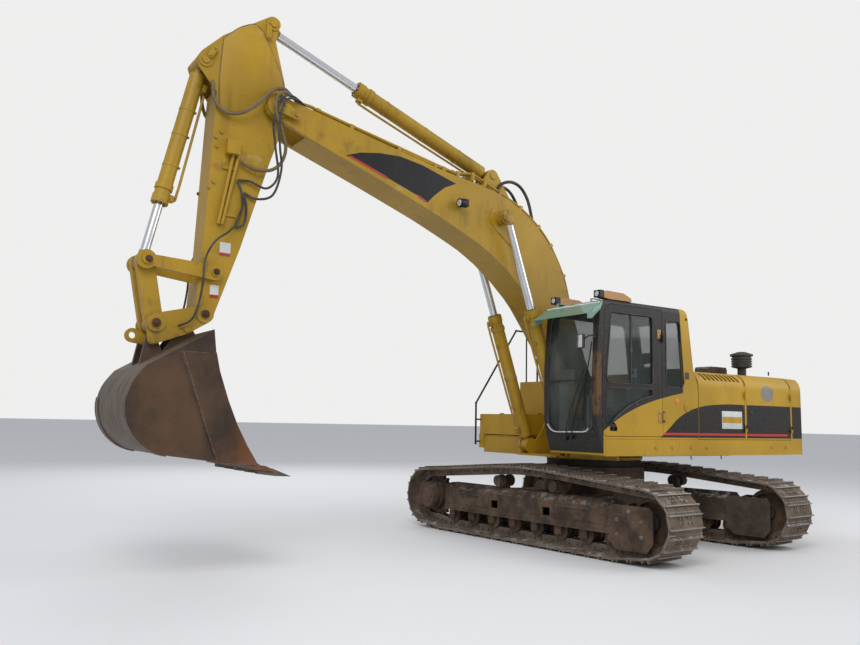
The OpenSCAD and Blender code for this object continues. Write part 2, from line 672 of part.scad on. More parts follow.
module cab_controls() {
    y = (cab_y0 + cab_y1) / 2;
    color([0.2, 0.2, 0.21]) {
        for (s = [-1, 1]) {
            slab(s > 0 ? y + 262 : y - 372, s > 0 ? y + 372 : y - 262) offset(r = 30) offset(delta = -30)
                polygon([[80, cab_floor + 0.3], [560, cab_floor + 0.3], [640, cab_floor + 560], [560, cab_floor + 600], [80, cab_floor + 500]]);
            translate([560, y + s * 317, cab_floor + 560]) cylinder(r = 14, h = 170);
            translate([560, y + s * 317, cab_floor + 700]) cylinder(r = 28, h = 110);
        }
        // Travel pedals with their levers
        for (s = [-1, 1]) {
            block([900, y + s * 80 - 45, cab_floor + 0.3], [1020, y + s * 80 + 45, cab_floor + 60]);
            translate([960, y + s * 80, cab_floor + 50]) cylinder(r = 12, h = 420);
        }
        // Display on its post
        block([1080, cab_y0 + 80, cab_floor + 0.3], [1160, cab_y0 + 160, cab_floor + 620]);
        block([1060, cab_y0 + 70, cab_floor + 620], [1120, cab_y0 + 260, cab_floor + 800]);
    }
}

module sun_visor() {
    color([0.2, 0.35, 0.28, 0.7]) {
        for (y = [cab_y0 + 150, cab_y1 - 180]) slab(y, y + 30)
            polygon([[cab_front - 212, roof_z + 0.3], [cab_front - 212, roof_z + 9], [cab_front - 72, roof_z + 9],
                [cab_front - 72, roof_z - 52], [cab_front - 81, roof_z - 52], [cab_front - 81, roof_z + 0.3]]);
        slab(cab_y0 + 6, cab_y1 + 20) polygon([[cab_front - 92, roof_z - 34], [cab_front + 175, roof_z - 215], [cab_front + 180, roof_z - 207], [cab_front - 87, roof_z - 26]]);
    }
}

// Section of a side wall in Y and Z: upright sheet with a round shoulder, side = 1 left, -1 right
module wall_section(side, foot_z, hw) {
    c = [hw - shoulder_r, shoulder_z];
    outer = arc(c, shoulder_r, 0, shoulder_end, 8);
    inner = arc(c, shoulder_r - panel_t, shoulder_end, 0, 8);
    polygon([for (q = concat([[hw, foot_z]], outer, inner, [[hw - panel_t, foot_z]])) [side * q[0], q[1]]]);
}
module side_wall(side, x0, x1, foot_z, hw) { translate([x0, 0, 0]) rotate([90, 0, 90]) linear_extrude(x1 - x0) wall_section(side, foot_z, hw); }

module house_panels() {
    color(paint) {
        // Wall behind the cab, right wall, rear bulkhead
        block([cab_rear - 40, -400, deck_z - 11.7], [cab_rear - 10, hood_y1 - 4, hood_z]);
        side_wall(-1, weight_front + 10, pump_door_x0 - gap, deck_z + 0.3, side_y);
        block([weight_front + 11, -side_y + panel_t - 1, deck_z + 0.3], [weight_front + 37, house_hw - panel_t + 1, shoulder_z]);
        // Posts beside the doors
        for (x = [rear_door_x0 - gap - post_w, front_door_x0 - gap - post_w])
            block([x, house_hw - panel_t, deck_z + 0.3], [x + post_w, house_hw, post_top]);
        block([front_door_x0 - gap - post_w, house_hw - 110, deck_z + 0.3], [front_door_x0 - gap, house_hw - panel_t + 1, shoulder_z]);
        at_front_door_hinges() fixed_hinge(25);
        at_rear_door_hinges() fixed_hinge(25);
        at_pump_door_hinges() fixed_hinge();
        at_hood_hinges() fixed_hinge(25);
    }
}

module hood() {
    x0 = weight_front + 6;
    skin = 12;
    lip = 90;
    color(paint) at_hood_hinges() turning_hinge();
    color(paint) difference() {
        block([x0, -hood_y1, hood_z - lip], [hood_x1, hood_y1, hood_z]);
        block([x0 + skin, -hood_y1 + skin, hood_z - lip - 1], [hood_x1 - skin, hood_y1 - skin, hood_z - skin]);
        // Air slots over the radiator
        for (i = [0:6]) block([-900 - i * 60, 620, hood_z - 30], [-875 - i * 60, 1040, hood_z + 1]);
    }
    // Raised middle over the engine
    color(paint) difference() {
        block([x0 + 28, -430, hood_z - 1], [x0 + 1180, 430, hood_z + 28]);
        block([x0 + 40, -418, hood_z - 2], [x0 + 1168, 418, hood_z + 18]);
    }
}

module side_door(x0, x1) {
    rim = 30;
    difference() {
        side_wall(1, x0, x1, door_base, house_hw);
        block([x0 + rim, house_hw - panel_t - 1, door_base + rim], [x1 - rim, house_hw - 6, shoulder_z - rim]);
    }
}
module side_door_front() {
    slot_w = 46;
    slot_step = 84;
    slant = 52;
    color(paint) difference() {
        side_door(front_door_x0, door_x_end);
        // Slanted air slots in the shoulder
        for (i = [0:8]) translate([front_door_x0 + 70 + i * slot_step, 0]) slab(house_hw - shoulder_r, house_hw + 1)
            polygon([[0, shoulder_z + 85], [slot_w, shoulder_z + 85], [slot_w + slant, shoulder_z + 170], [slant, shoulder_z + 170]]);
    }
    color(paint) at_front_door_hinges() turning_hinge();
}
module side_door_rear() {
    color(paint) side_door(rear_door_x0, front_door_x0 - 2 * gap - post_w);
    color(paint) at_rear_door_hinges() turning_hinge();
}

module pump_door() {
    x1 = cab_rear - 62;
    rim = 30;
    color(paint) difference() {
        side_wall(-1, pump_door_x0, x1, door_base, side_y);
        block([pump_door_x0 + rim, -side_y + 6, door_base + rim], [x1 - rim, -side_y + panel_t + 1, shoulder_z - rim]);
    }
    color(paint) at_pump_door_hinges() turning_hinge();
}

module engine_block() {
    color([0.25, 0.25, 0.26]) {
        block([-1900, -520, deck_z + 120], [-1250, 560, deck_z + 700]);
        for (y = [-400, 440]) for (x = [-1850, -1330]) block([x, y - 30, deck_z - 11.7], [x + 30, y + 30, deck_z + 121]);
    }
}

module radiator() {
    color(black) {
        block([-1980, 820, deck_z + 0.3 - 12], [-800, 1120, 2040]);
    }
}

module valve_block() {
    color(paint) {
        translate([-700, 0, deck_z - 11.7]) cylinder(r = 170, h = 420);
        block([-420, -220, deck_z - 11.7], [-60, 220, deck_z + 300]);
    }
}

tank_z = 2140;

// Right side: toolbox at the front, step and fuel tank behind it
module fuel_tank() {
    y0 = -house_hw + 5;
    color(paint) {
        difference() {
            block([-495, y0, deck_z + 0.3], [150, -boom_hw - 170, tank_z]);
            block([-483, y0 + 12, deck_z + 14], [138, -boom_hw - 182, tank_z - 12]);
        }
    }
}

module toolbox() {
    y0 = -house_hw + 5;
    color(paint) {
        difference() {
            block([156, y0, deck_z + 0.3], [910, lid_y + 18, lid_z]);
            block([168, y0 + 12, deck_z + 12], [898, lid_y + 6, lid_z + 1]);
            block([155, y0 - 1, lid_z - 14.3], [911, lid_y + 6, lid_z + 1]);
        }
        at_lid_hinges() fixed_hinge(15);
    }
}

module toolbox_lid() {
    color(paint) {
        block([156, -side_y, lid_z - 14], [910, lid_y, lid_z]);
        at_lid_hinges() turning_hinge();
    }
}

module handrails() {
    y = -house_hw + 20;
    path = [[1000, 1210], [1000, 1800], [250, 2930], [-180, 2930], [-180, tank_z]];
    color(black) {
        for (i = [0:3]) rod(path[i], path[i + 1], 14, y);
        for (p = [path[0], path[1], path[2], path[3]]) translate([p[0], y, p[1]]) sphere(r = 18);
        rod([920.3, 1240], [1000, 1240], 11, y);
        rod([910.3, 1560], [1000, 1560], 11, y);
        rod([40, 2930], [40, tank_z], 11, y);
        for (x = [-180, 40]) translate([x, y, tank_z + 0.3]) cylinder(r = 26, h = 10);
    }
}
module rod(a, b, r, y) { along(a, b, y) cylinder(r = r, h = norm(b - a)); }

module precleaner() {
    // Rings as [foot, height, lower radius, upper radius]
    stem = [[0, 12, 95, 95], [11, 140, 62, 62], [150, 16, 70, 132], [165, 165, 132, 132], [324, 12, 134, 160],
        [335, 26, 162, 162], [360, 36, 160, 60]];
    ribs = [for (i = [0:3]) [174 + i * 37, 18, 147, 147]];
    color(black) translate([-2300, 750, hood_z + 0.3]) for (k = concat(stem, ribs))
        translate([0, 0, k[0]]) cylinder(h = k[1], r1 = k[2], r2 = k[3]);
}

module muffler() {
    x0 = -2410;
    x1 = -2010;
    foot_z = hood_z + 28.3;
    top_z = hood_z + 185;
    color(black) {
        // Muffler box with pressed ribs
        slab(130, 410) polygon([[x0, foot_z], [x1, foot_z], [x1, top_z - 30], [x1 - 25, top_z], [x0 + 25, top_z], [x0, top_z - 30]]);
        for (i = [0:4]) block([x0 + 50 + i * 70, 122, foot_z + 20], [x0 + 70 + i * 70, 418, top_z - 45]);
        // Exhaust stack with its slanted end
        translate([-1650, -200, foot_z]) cylinder(r = 85, h = 14);
        slant_pipe([-1650, -200, foot_z + 12], 60, 250);
    }
}
module slant_pipe(p, r, h) {
    translate(p) difference() {
        cylinder(r = r, h = h);
        translate([0, 0, 60]) cylinder(r = r - 5, h = h);
        translate([-r - 20, -r - 1, h - 10]) rotate([0, 35, 0]) cube([4 * r, 2 * r + 2, 2 * r]);
    }
}

module side_mirror() {
    color(black) {
        translate([cab_front - 24.5, cab_y1 - 60, 2560]) rotate([0, 90, 0]) cylinder(r = 12, h = 86);
        translate([cab_front + 50, cab_y1 - 38, 2560]) rotate([90, 0, 0]) cylinder(r = 8, h = 175);
        translate([cab_front + 50, cab_y1 - 205, 2500]) cube([30, 120, 160], center = true);
    }
}

module work_lights() {
    // Long covers on the front roof corners with a lamp head on the outer end of each
    for (k = [[cab_y0 + 24, -1], [cab_y1 - 134, 1]]) {
        y = k[0];
        color([0.75, 0.5, 0.25]) slab(y, y + 110) polygon([[cab_front - 620, roof_z + 0.3], [cab_front - 250, roof_z + 0.3], [cab_front - 158, roof_z + 12],
            [cab_front - 150, roof_z + 84], [cab_front - 200, roof_z + 100], [cab_front - 480, roof_z + 92], [cab_front - 610, roof_z + 40]]);
        color(black) difference() {
            block([cab_front - 152, y + 2, roof_z + 14], [cab_front - 84, y + 108, roof_z + 100]);
            block([cab_front - 92, y + 12, roof_z + 24], [cab_front - 80, y + 98, roof_z + 90]);
        }
    }
}

// Boom: middle line of two straight legs and one bend, depth from a short table

leg = polar(1, leg_angle);
arm = polar(1, arm_angle);
turn = leg_angle - arm_angle;
corner_t = ((nose - foot)[0] * arm[1] - (nose - foot)[1] * arm[0]) / (leg[0] * arm[1] - leg[1] * arm[0]);
corner = foot + corner_t * leg;
bend_tan = bend_r * tan(turn / 2);
leg_len = corner_t - bend_tan;
bend_len = bend_r * turn * PI / 180;
arm_len = norm(nose - corner) - bend_tan;
boom_len = leg_len + bend_len + arm_len;
bend_c = foot + leg_len * leg - bend_r * left_of(leg);

// Depth of the boom: [share of the middle line, depth]
boom_depth = [[0, 300], [0.09, 350], [0.17, 480], [0.24, 600], [0.33, 780], [0.40, 830], [0.47, 800],
    [0.52, 740], [0.58, 640], [0.64, 560], [0.76, 453], [0.86, 376], [0.92, 335], [1, 262]];

function boom_at(s) =
    s < leg_len ? foot + s * leg :
    s < leg_len + bend_len ? bend_c + polar(bend_r, leg_angle + 90 - (s - leg_len) / bend_r * 180 / PI) :
    nose - (boom_len - s) * arm;
function boom_dir(s) =
    s < leg_len ? leg_angle :
    s < leg_len + bend_len ? leg_angle - (s - leg_len) / bend_r * 180 / PI : arm_angle;
function boom_edge(share, side, inset) =
    boom_at(share * boom_len) + polar(side * (lookup(share, boom_depth) / 2 - inset), boom_dir(share * boom_len) + 90);

module boom_outline(inset, from, to) {
    n = 30;
    shares = [for (i = [0:n]) from + (to - from) * i / n];
    polygon([for (u = shares) boom_edge(u, 1, inset), for (i = [n:-1:0]) boom_edge(shares[i], -1, inset)]);
}

fork_r = 440;
lamp_at = [2510, 4190];
boom_eye_y0 = boom_cyl_y - 52;

module boom() {
    fork_hw = stick_hw + side_gap + 14;
    color(paint) {
        difference() {
            union() {
                slab(-boom_hw, boom_hw) {
                    boom_outline(0, 0, 1);
                    translate(foot) circle(r = 165);
                    translate(nose) circle(r = 146);
                }
                bars(foot, 150, boom_hw - 1, boom_hw + 60);
                bars(nose, 130, boom_hw - 1, boom_hw + 30);
                bars(boom_rod, 95, boom_hw - 1, boom_eye_y0 - side_gap);
            }
            // Hollow box
            slab(-boom_hw + boom_t, boom_hw - boom_t) difference() {
                boom_outline(boom_t, 0, 1);
                translate(foot) circle(r = 170);
                translate(nose) circle(r = fork_r + 16);
                translate(boom_rod) circle(r = 80);
                for (s = [0.2, 0.55]) translate(boom_at(s * boom_len)) rotate(boom_dir(s * boom_len)) square([16, 1400], center = true);
            }
            // Fork for the stick
            slab(-fork_hw, fork_hw) translate(nose) circle(r = fork_r);
            bar(foot, 50 + fit, -boom_hw - 70, boom_hw + 70);
        }
        // Doubler plates round the rod pin and at the foot
        pair(boom_hw - 1, boom_hw + 10) {
            strap_outline(boom_rod, 165, boom_at(0.41 * boom_len), 120);
            strap_outline(boom_at(0.04 * boom_len), 130, boom_at(0.1 * boom_len), 120);
        }
        // Work lamp on the left side
        bar(lamp_at, 18, boom_hw - 1, boom_hw + 50);
        translate([lamp_at[0] - 35, boom_hw + 45, lamp_at[1] - 30]) cube([70, 70, 80]);
        // Nose pin
        bar(nose, 50, -boom_hw - 45, boom_hw + 45);
        // Ears of the stick cylinder on the back
        pair(70, 110) difference() {
            hull() {
                translate(stick_base) circle(r = 85);
                translate(boom_edge(0.44, 1, 40)) circle(r = 60);
                translate(boom_edge(0.52, 1, 40)) circle(r = 60);
            }
            boom_outline(boom_t / 2, 0, 1);
        }
        bar(stick_base, 42, -125, 125);
    }
}

// Steel pipes along the back of the boom, held by clamps
function boom_top(share, off) = boom_edge(share, 1, -off);

module boom_lines() {
    a = boom_top(0.60, 45);
    b = boom_top(0.93, 45);
    color(paint) {
        for (y = [-195, -135, 135, 195]) {
            rod(a, b, 18, y);
            for (k = [0.02, 0.98]) rod(a + (b - a) * (k - 0.012), a + (b - a) * (k + 0.012), 27, y);
        }
        for (u = [0.63, 0.74, 0.85]) {
            way = boom_top(u + 0.005, 0) - boom_top(u - 0.005, 0);
            slab(-222, 222) translate(boom_top(u, 0)) rotate(angle_of(way)) translate([-25, 0.5]) square([50, 62]);
        }
    }
}

// Cylinders: the barrel turns on its base pin and the rod slides in it

neck = 130;

module barrel(base, tip, closed, r, rod_r, eye_hw, y) {
    len = closed - 130;
    color(paint) along(base, tip, y) difference() {
        union() {
            translate([0, 0, 60]) cylinder(r = rod_r - 2, h = 100);
            translate([0, 0, neck]) cylinder(r = r, h = len - neck);
            translate([0, 0, len - 210]) cylinder(r = r + 12, h = 60);
            translate([0, 0, len - 90]) cylinder(r = r + 9, h = 90);
            rotate([90, 0, 0]) cylinder(r = r + 2, h = 2 * eye_hw, center = true);
        }
        translate([0, 0, neck + 25]) cylinder(r = r - 14, h = len - neck - 125);
        translate([0, 0, neck + 10]) cylinder(r = rod_r + 0.3, h = len);
    }
}
module ram(base, tip, closed, r, rod_r, eye_hw, y) {
    len = norm(tip - base);
    back = closed - 130 - 190;
    color(chrome) along(base, tip, y) translate([0, 0, len - back]) cylinder(r = rod_r, h = back - rod_r - 15);
    color(paint) along(base, tip, y) translate([0, 0, len]) {
        rotate([90, 0, 0]) cylinder(r = rod_r + 35, h = 2 * eye_hw, center = true);
        translate([0, 0, -rod_r - 75]) cylinder(r = rod_r + 8, h = 70);
    }
    color(rust) bar(tip, 40, y - eye_hw - 3, y + eye_hw + 3);
}

boom_closed = 1960;
stick_closed = 2240;
bucket_closed = 1740;

module boom_cylinder_barrels() {
    for (s = [-1, 1]) difference() {
        barrel(boom_base, boom_rod, boom_closed, boom_barrel_r, boom_rod_r, 52, s * boom_cyl_y);
        bar(boom_base, 45 + fit, s * boom_cyl_y - 60, s * boom_cyl_y + 60);
    }
}
module boom_cylinder_rods() {
    for (s = [-1, 1]) ram(boom_base, boom_rod, boom_closed, boom_barrel_r, boom_rod_r, 48, s * boom_cyl_y);
}
module stick_cylinder_barrel() {
    difference() {
        barrel(stick_base, stick_rod, stick_closed, stick_barrel_r, stick_rod_r, 62, 0);
        bar(stick_base, 42 + fit, -70, 70);
    }
}
module stick_cylinder_rod() { ram(stick_base, stick_rod, stick_closed, stick_barrel_r, stick_rod_r, 55, 0); }
module bucket_cylinder_barrel() {
    difference() {
        barrel(bucket_base, link_pin, bucket_closed, bucket_barrel_r, bucket_rod_r, 62, 0);
        bar(bucket_base, 42 + fit, -70, 70);
    }
}
module bucket_cylinder_rod() { ram(bucket_base, link_pin, bucket_closed, bucket_barrel_r, bucket_rod_r, 48, 0); }

// Stick: two side plates joined by webs, bosses at the pivots
stick_edge = [[4925, 5870], [4960, 5925], [5030, 5935], [5110, 5880], [5560, 5560], [5780, 5330], [5832, 5240], [5800, 5150],
    [5600, 4920], [5655, 3220], [5700, 2600], [5680, 2500], [5610, 2452], [5530, 2480], [5265, 3270], [4990, 4230],
    [4800, 4830], [4800, 4960], [4850, 5210], [4970, 5650]];

module stick_outline() { offset(r = 40) offset(delta = -40) polygon(stick_edge); }

rod_mouth = 235;
base_mouth = 330;

module stick() {
    inner = stick_hw - stick_t;
    color(paint) {
        difference() {
            union() {
                slab(-stick_hw, stick_hw) stick_outline();
                bar(nose, 150, -stick_hw - side_gap + 2, stick_hw + side_gap - 2);
                bar(stick_end, 92, -stick_hw - 2, stick_hw + 2);
                bar(side_pin, 75, -stick_hw - 4, stick_hw + 4);
                for (p = [stick_rod, bucket_base]) bars(p, 78, stick_hw - 1, stick_hw + 12);
            }
            // Box hollow, closed towards the mouths of the two cylinder eyes
            slab(-inner, inner) difference() {
                offset(delta = -stick_t) stick_outline();
                translate(stick_rod) circle(r = rod_mouth + stick_t);
                translate(bucket_base) circle(r = base_mouth + stick_t);
                translate(nose) circle(r = 150);
                translate(side_pin) circle(r = 75);
                translate(stick_end) circle(r = 140);
            }
            slab(-inner, inner) {
                translate(stick_rod) circle(r = rod_mouth);
                translate(bucket_base) circle(r = base_mouth);
            }
            bar(nose, 50 + fit, -stick_hw - 20, stick_hw + 20);
            bar(stick_end, 45 + fit, -stick_hw - 20, stick_hw + 20);
        }
        // Bosses inside the ears
        for (p = [stick_rod, bucket_base]) bars(p, 78, 70, inner + 1);
        // Pins of the side links, the bucket cylinder and the stick cylinder
        bars(side_pin, 40, stick_hw + 3, stick_hw + link_t + 30);
        bar(bucket_base, 42, -stick_hw - 25, stick_hw + 25);
        bars(stick_rod, 42, 66, stick_hw + 25);
    }
}

module stick_lines() {
    color(paint) {
        for (k = [0:1]) {
            rod([5330 + k * 60, 4300], [5480 + k * 40, 3500], 17, stick_hw + 17.3 + 12);
            rod([5330 + k * 60, 4300], [5480 + k * 40, 3500], 17, -stick_hw - 17.3 - 12);
        }
        block([5340, stick_hw + 0.3, 4260], [5480, stick_hw + 90, 4420]);
        for (s = [-1, 1]) for (z = [3600, 4100]) slab(s > 0 ? stick_hw + 0.3 : -stick_hw - 14, s > 0 ? stick_hw + 14 : -stick_hw - 0.3) translate([5330, z]) square([170, 40]);
    }
}

link_y0 = stick_hw + side_gap + 4;
link_y1 = link_y0 + link_t;

module side_links() {
    color(paint) difference() {
        union() {
            pair(link_y0, link_y1) {
                strap_outline(side_pin, 78, link_pin, 55);
                translate(link_pin) circle(r = 95);
            }
            bars(link_pin, 48, link_y1 - 1, link_y1 + 24);
        }
        bar(side_pin, 40 + fit, -link_y1 - 5, link_y1 + 5);
    }
}

// Connecting link: two arms and a web, turning on the coupler's rear pin
module connecting_link() {
    a0 = 68;
    a1 = stick_hw - 10;
    mid0 = link_pin + (coupler_pin - link_pin) * 0.38;
    mid1 = link_pin + (coupler_pin - link_pin) * 0.80;
    color(paint) difference() {
        union() {
            pair(a0, a1) strap_outline(link_pin, 88, coupler_pin, 88);
            slab(-a0 - 1, a0 + 1) strap_outline(mid0, 60, mid1, 60);
            bar(coupler_pin, 76, -a0 - 1, a0 + 1);
        }
        bar(coupler_pin, 45 + fit, -a1 - 5, a1 + 5);
    }
}

ear_y0 = stick_hw + side_gap;
ear_y1 = ear_y0 + 40;

low_rear = coupler_pin + [20, -170];
low_front = stick_end + [170, -165];

module coupler() {
    eye = coupler_pin + [170, -120];
    color(paint) {
        pair(ear_y0, ear_y1) hull() {
            translate(stick_end) circle(r = 92);
            translate(coupler_pin) circle(r = 95);
            translate(low_rear) circle(r = 45);
            translate(low_front) circle(r = 45);
        }
        slab(-115, 115) strap_outline(low_rear, 44, low_front, 44);
        bars(stick_end, 90, ear_y1 - 1, ear_y1 + 14);
        bars(coupler_pin, 90, ear_y1 - 1, ear_y1 + 14);
        for (p = [stick_end, coupler_pin]) bar(p, 45, -ear_y1 - 26, ear_y1 + 26);
        for (p = [low_rear, low_front]) bar(p, 32, -ear_y1 - 12, ear_y1 + 12);
        // Lifting eye behind
        slab(-22, 22) difference() {
            strap_outline(low_rear, 42, eye, 70);
            translate(eye) circle(r = 34);
        }
    }
}

// Bucket: rolled shell, side plates, top plate and hanger ears
bucket_top = [5650, 2350];
bucket_lip = [5080, 1025];
bucket_back = [6265, 1975];
wear_t = 10;
bucket_round = arc(heel_c, heel_r - wear_t, 40, -80, 16);
mouth_edge = [[5170, 1085], [5270, 1240], [5380, 1440], [5480, 1670], [5580, 1950], [5622, 2130]];

module bucket() {
    hw = bucket_w / 2;
    color(rust) {
        difference() {
            slab(-hw, hw) polygon(concat([bucket_top, bucket_back], bucket_round, [bucket_lip], mouth_edge));
            slab(-hw + bucket_t, hw - bucket_t) offset(delta = -bucket_t)
                polygon(concat([bucket_top, bucket_back], bucket_round, [bucket_lip, bucket_lip + [-900, 300], bucket_top + [-900, 0]]));
        }
        // Lip plate
        slab(-hw, hw) polygon([bucket_lip + [160, 45], bucket_lip + [150, -6], bucket_lip + [-90, -32], bucket_lip + [-90, -12], bucket_lip + [-5, 24]]);
        // Thick side plates along the mouth, and wear strips round the heel
        for (s = [-1, 1]) slab(s > 0 ? hw - 1 : -hw - 14, s > 0 ? hw + 14 : -hw + 1)
            polygon(concat([[5640, 2120], [5960, 2120], [5560, 1075]], [[5175, 1062]], mouth_edge));
        for (s = [-1, 1]) slab(s > 0 ? hw - 140 : -hw, s > 0 ? hw : -hw + 140)
            polygon(concat(arc(heel_c, heel_r, 10, -80, 12), arc(heel_c, heel_r - wear_t - 5, -80, 10, 12)));
        // Ears on the coupler's two lower pins
        pair(125, 165) difference() {
            union() {
                hull() {
                    translate(low_rear) circle(r = 58);
                    translate(bucket_back + [-60, 20]) circle(r = 12);
                    translate(bucket_back + [-260, 138]) circle(r = 12);
                }
                hull() {
                    translate(low_front) circle(r = 58);
                    translate(bucket_top + [30, -30]) circle(r = 8);
                    translate(bucket_back + [-260, 138]) circle(r = 12);
                }
            }
            for (p = [low_rear, low_front]) translate(p) circle(r = 32.3);
        }
    }
}

module bucket_teeth() {
    hw = bucket_w / 2;
    color(rust) for (i = [0:tooth_count - 1]) {
        y = -hw + 60 + i * (bucket_w - 120) / (tooth_count - 1);
        slab(y - 45, y + 45) polygon([bucket_lip + [60, -22.5], bucket_lip + [-90.3, -32.3], bucket_lip + [-90.3, -5], bucket_lip + [-290, -85], bucket_lip + [-120, -78], bucket_lip + [60, -55]]);
    }
}

under() car_body();
at_swing() swing_bearing();
under() track_frame(track_y, 1);  // track_frame_left
under() track_frame(-track_y, -1);  // track_frame_right
under() track(track_y);  // track_left
under() track(-track_y);  // track_right
under() sprocket(track_y, 1);  // sprocket_left
under() sprocket(-track_y, -1);  // sprocket_right
under() idler(track_y);  // idler_left
under() idler(-track_y);  // idler_right
under() rollers(track_y, 1);  // rollers_left
under() rollers(-track_y, -1);  // rollers_right
at_swing() platform();
at_swing() counterweight();
at_swing() cab_shell();
at_swing() cab_glass();
at_swing() cab_seat();
at_swing() cab_controls();
at_swing() sun_visor();
at_swing() engine_block();
at_swing() radiator();
at_swing() house_panels();
at_swing() valve_block();
at_swing() fuel_tank();
at_swing() toolbox();
at_swing() handrails();
at_swing() precleaner();
at_swing() muffler();
at_swing() side_mirror();
at_swing() work_lights();
at_swing() cab_door();
at_swing() cab_door_glass();
at_swing() hood();
at_swing() side_door_front();
at_swing() side_door_rear();
at_swing() pump_door();
at_swing() toolbox_lid();
at_swing() boom();
at_swing() boom_lines();
at_swing() boom_cylinder_barrels();
at_swing() boom_cylinder_rods();
at_swing() stick();
at_swing() stick_lines();
at_swing() stick_cylinder_barrel();
at_swing() stick_cylinder_rod();
at_swing() bucket_cylinder_barrel();
at_swing() bucket_cylinder_rod();
at_swing() side_links();
at_swing() connecting_link();
at_swing() coupler();
at_swing() bucket();
at_swing() bucket_teeth();
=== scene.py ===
"""Crawler excavator: finishes, fittings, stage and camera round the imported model."""

import math

import bmesh
import bpy
from bpy.props import FloatProperty, FloatVectorProperty, PointerProperty
from mathutils import Matrix, Vector


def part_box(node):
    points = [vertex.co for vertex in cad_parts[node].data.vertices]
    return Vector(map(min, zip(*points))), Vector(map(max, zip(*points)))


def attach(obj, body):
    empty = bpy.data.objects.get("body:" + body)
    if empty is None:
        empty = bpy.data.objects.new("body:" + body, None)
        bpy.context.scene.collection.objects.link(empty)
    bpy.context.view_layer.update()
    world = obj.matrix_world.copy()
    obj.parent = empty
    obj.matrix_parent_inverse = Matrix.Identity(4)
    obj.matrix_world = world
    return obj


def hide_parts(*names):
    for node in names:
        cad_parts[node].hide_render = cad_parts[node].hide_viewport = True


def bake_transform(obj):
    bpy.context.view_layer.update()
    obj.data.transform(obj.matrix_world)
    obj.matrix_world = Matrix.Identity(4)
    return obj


bl_info = {
    "name": "Crawler Excavator",
    "version": (1, 0, 0),
    "blender": (4, 5, 0),
    "location": "View3D > Sidebar > Excavator",
    "description": "Finishes and fittings for a tracked digging machine",
    "category": "Add Mesh",
}

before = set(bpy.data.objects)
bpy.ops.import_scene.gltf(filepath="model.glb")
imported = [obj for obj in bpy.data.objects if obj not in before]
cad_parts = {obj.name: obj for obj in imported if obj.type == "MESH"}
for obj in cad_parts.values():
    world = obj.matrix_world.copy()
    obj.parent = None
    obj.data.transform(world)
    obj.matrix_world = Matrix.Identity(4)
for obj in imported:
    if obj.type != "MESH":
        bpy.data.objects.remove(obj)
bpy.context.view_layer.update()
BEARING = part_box("swing_bearing")
AXIS_X = (BEARING[0].x + BEARING[1].x) / 2
UNDER_TURN = math.radians(94.9)
ACROSS = Vector((0, 1, 0))
# Heights over the ground, and places beside the middle line
DECK = 1.35
CAB_SIDE, CAB_INNER_SIDE = 1.424, 0.5005


class Number:
    """A shader socket that can stand in a sum, in which plain numbers become a Math node's own values."""

    def __init__(self, finish, socket):
        self.finish, self.socket = finish, socket

    def maths(self, how, *others):
        return self.finish.node("Math", {"operation": how}, dict(enumerate((self,) + others)))

    def __add__(self, other):
        return self.maths("ADD", other)

    __radd__ = __add__

    def __mul__(self, other):
        return self.maths("MULTIPLY", other)

    __rmul__ = __mul__

    def __sub__(self, other):
        return self.maths("SUBTRACT", other)

    def __rsub__(self, other):
        return self.finish.node("Math", {"operation": "SUBTRACT"}, {0: other, 1: self})

    def __truediv__(self, other):
        return self.maths("DIVIDE", other)

    def __pow__(self, other):
        return self.maths("POWER", other)

    def above(self, low, high):
        """0 below low, 1 above high, and a soft step between them."""
        settings = {"interpolation_type": "SMOOTHSTEP"}
        return self.finish.node("MapRange", settings, {"Value": self, "From Min": low, "From Max": high})

    def below(self, low, high):
        return 1 - self.above(low, high)


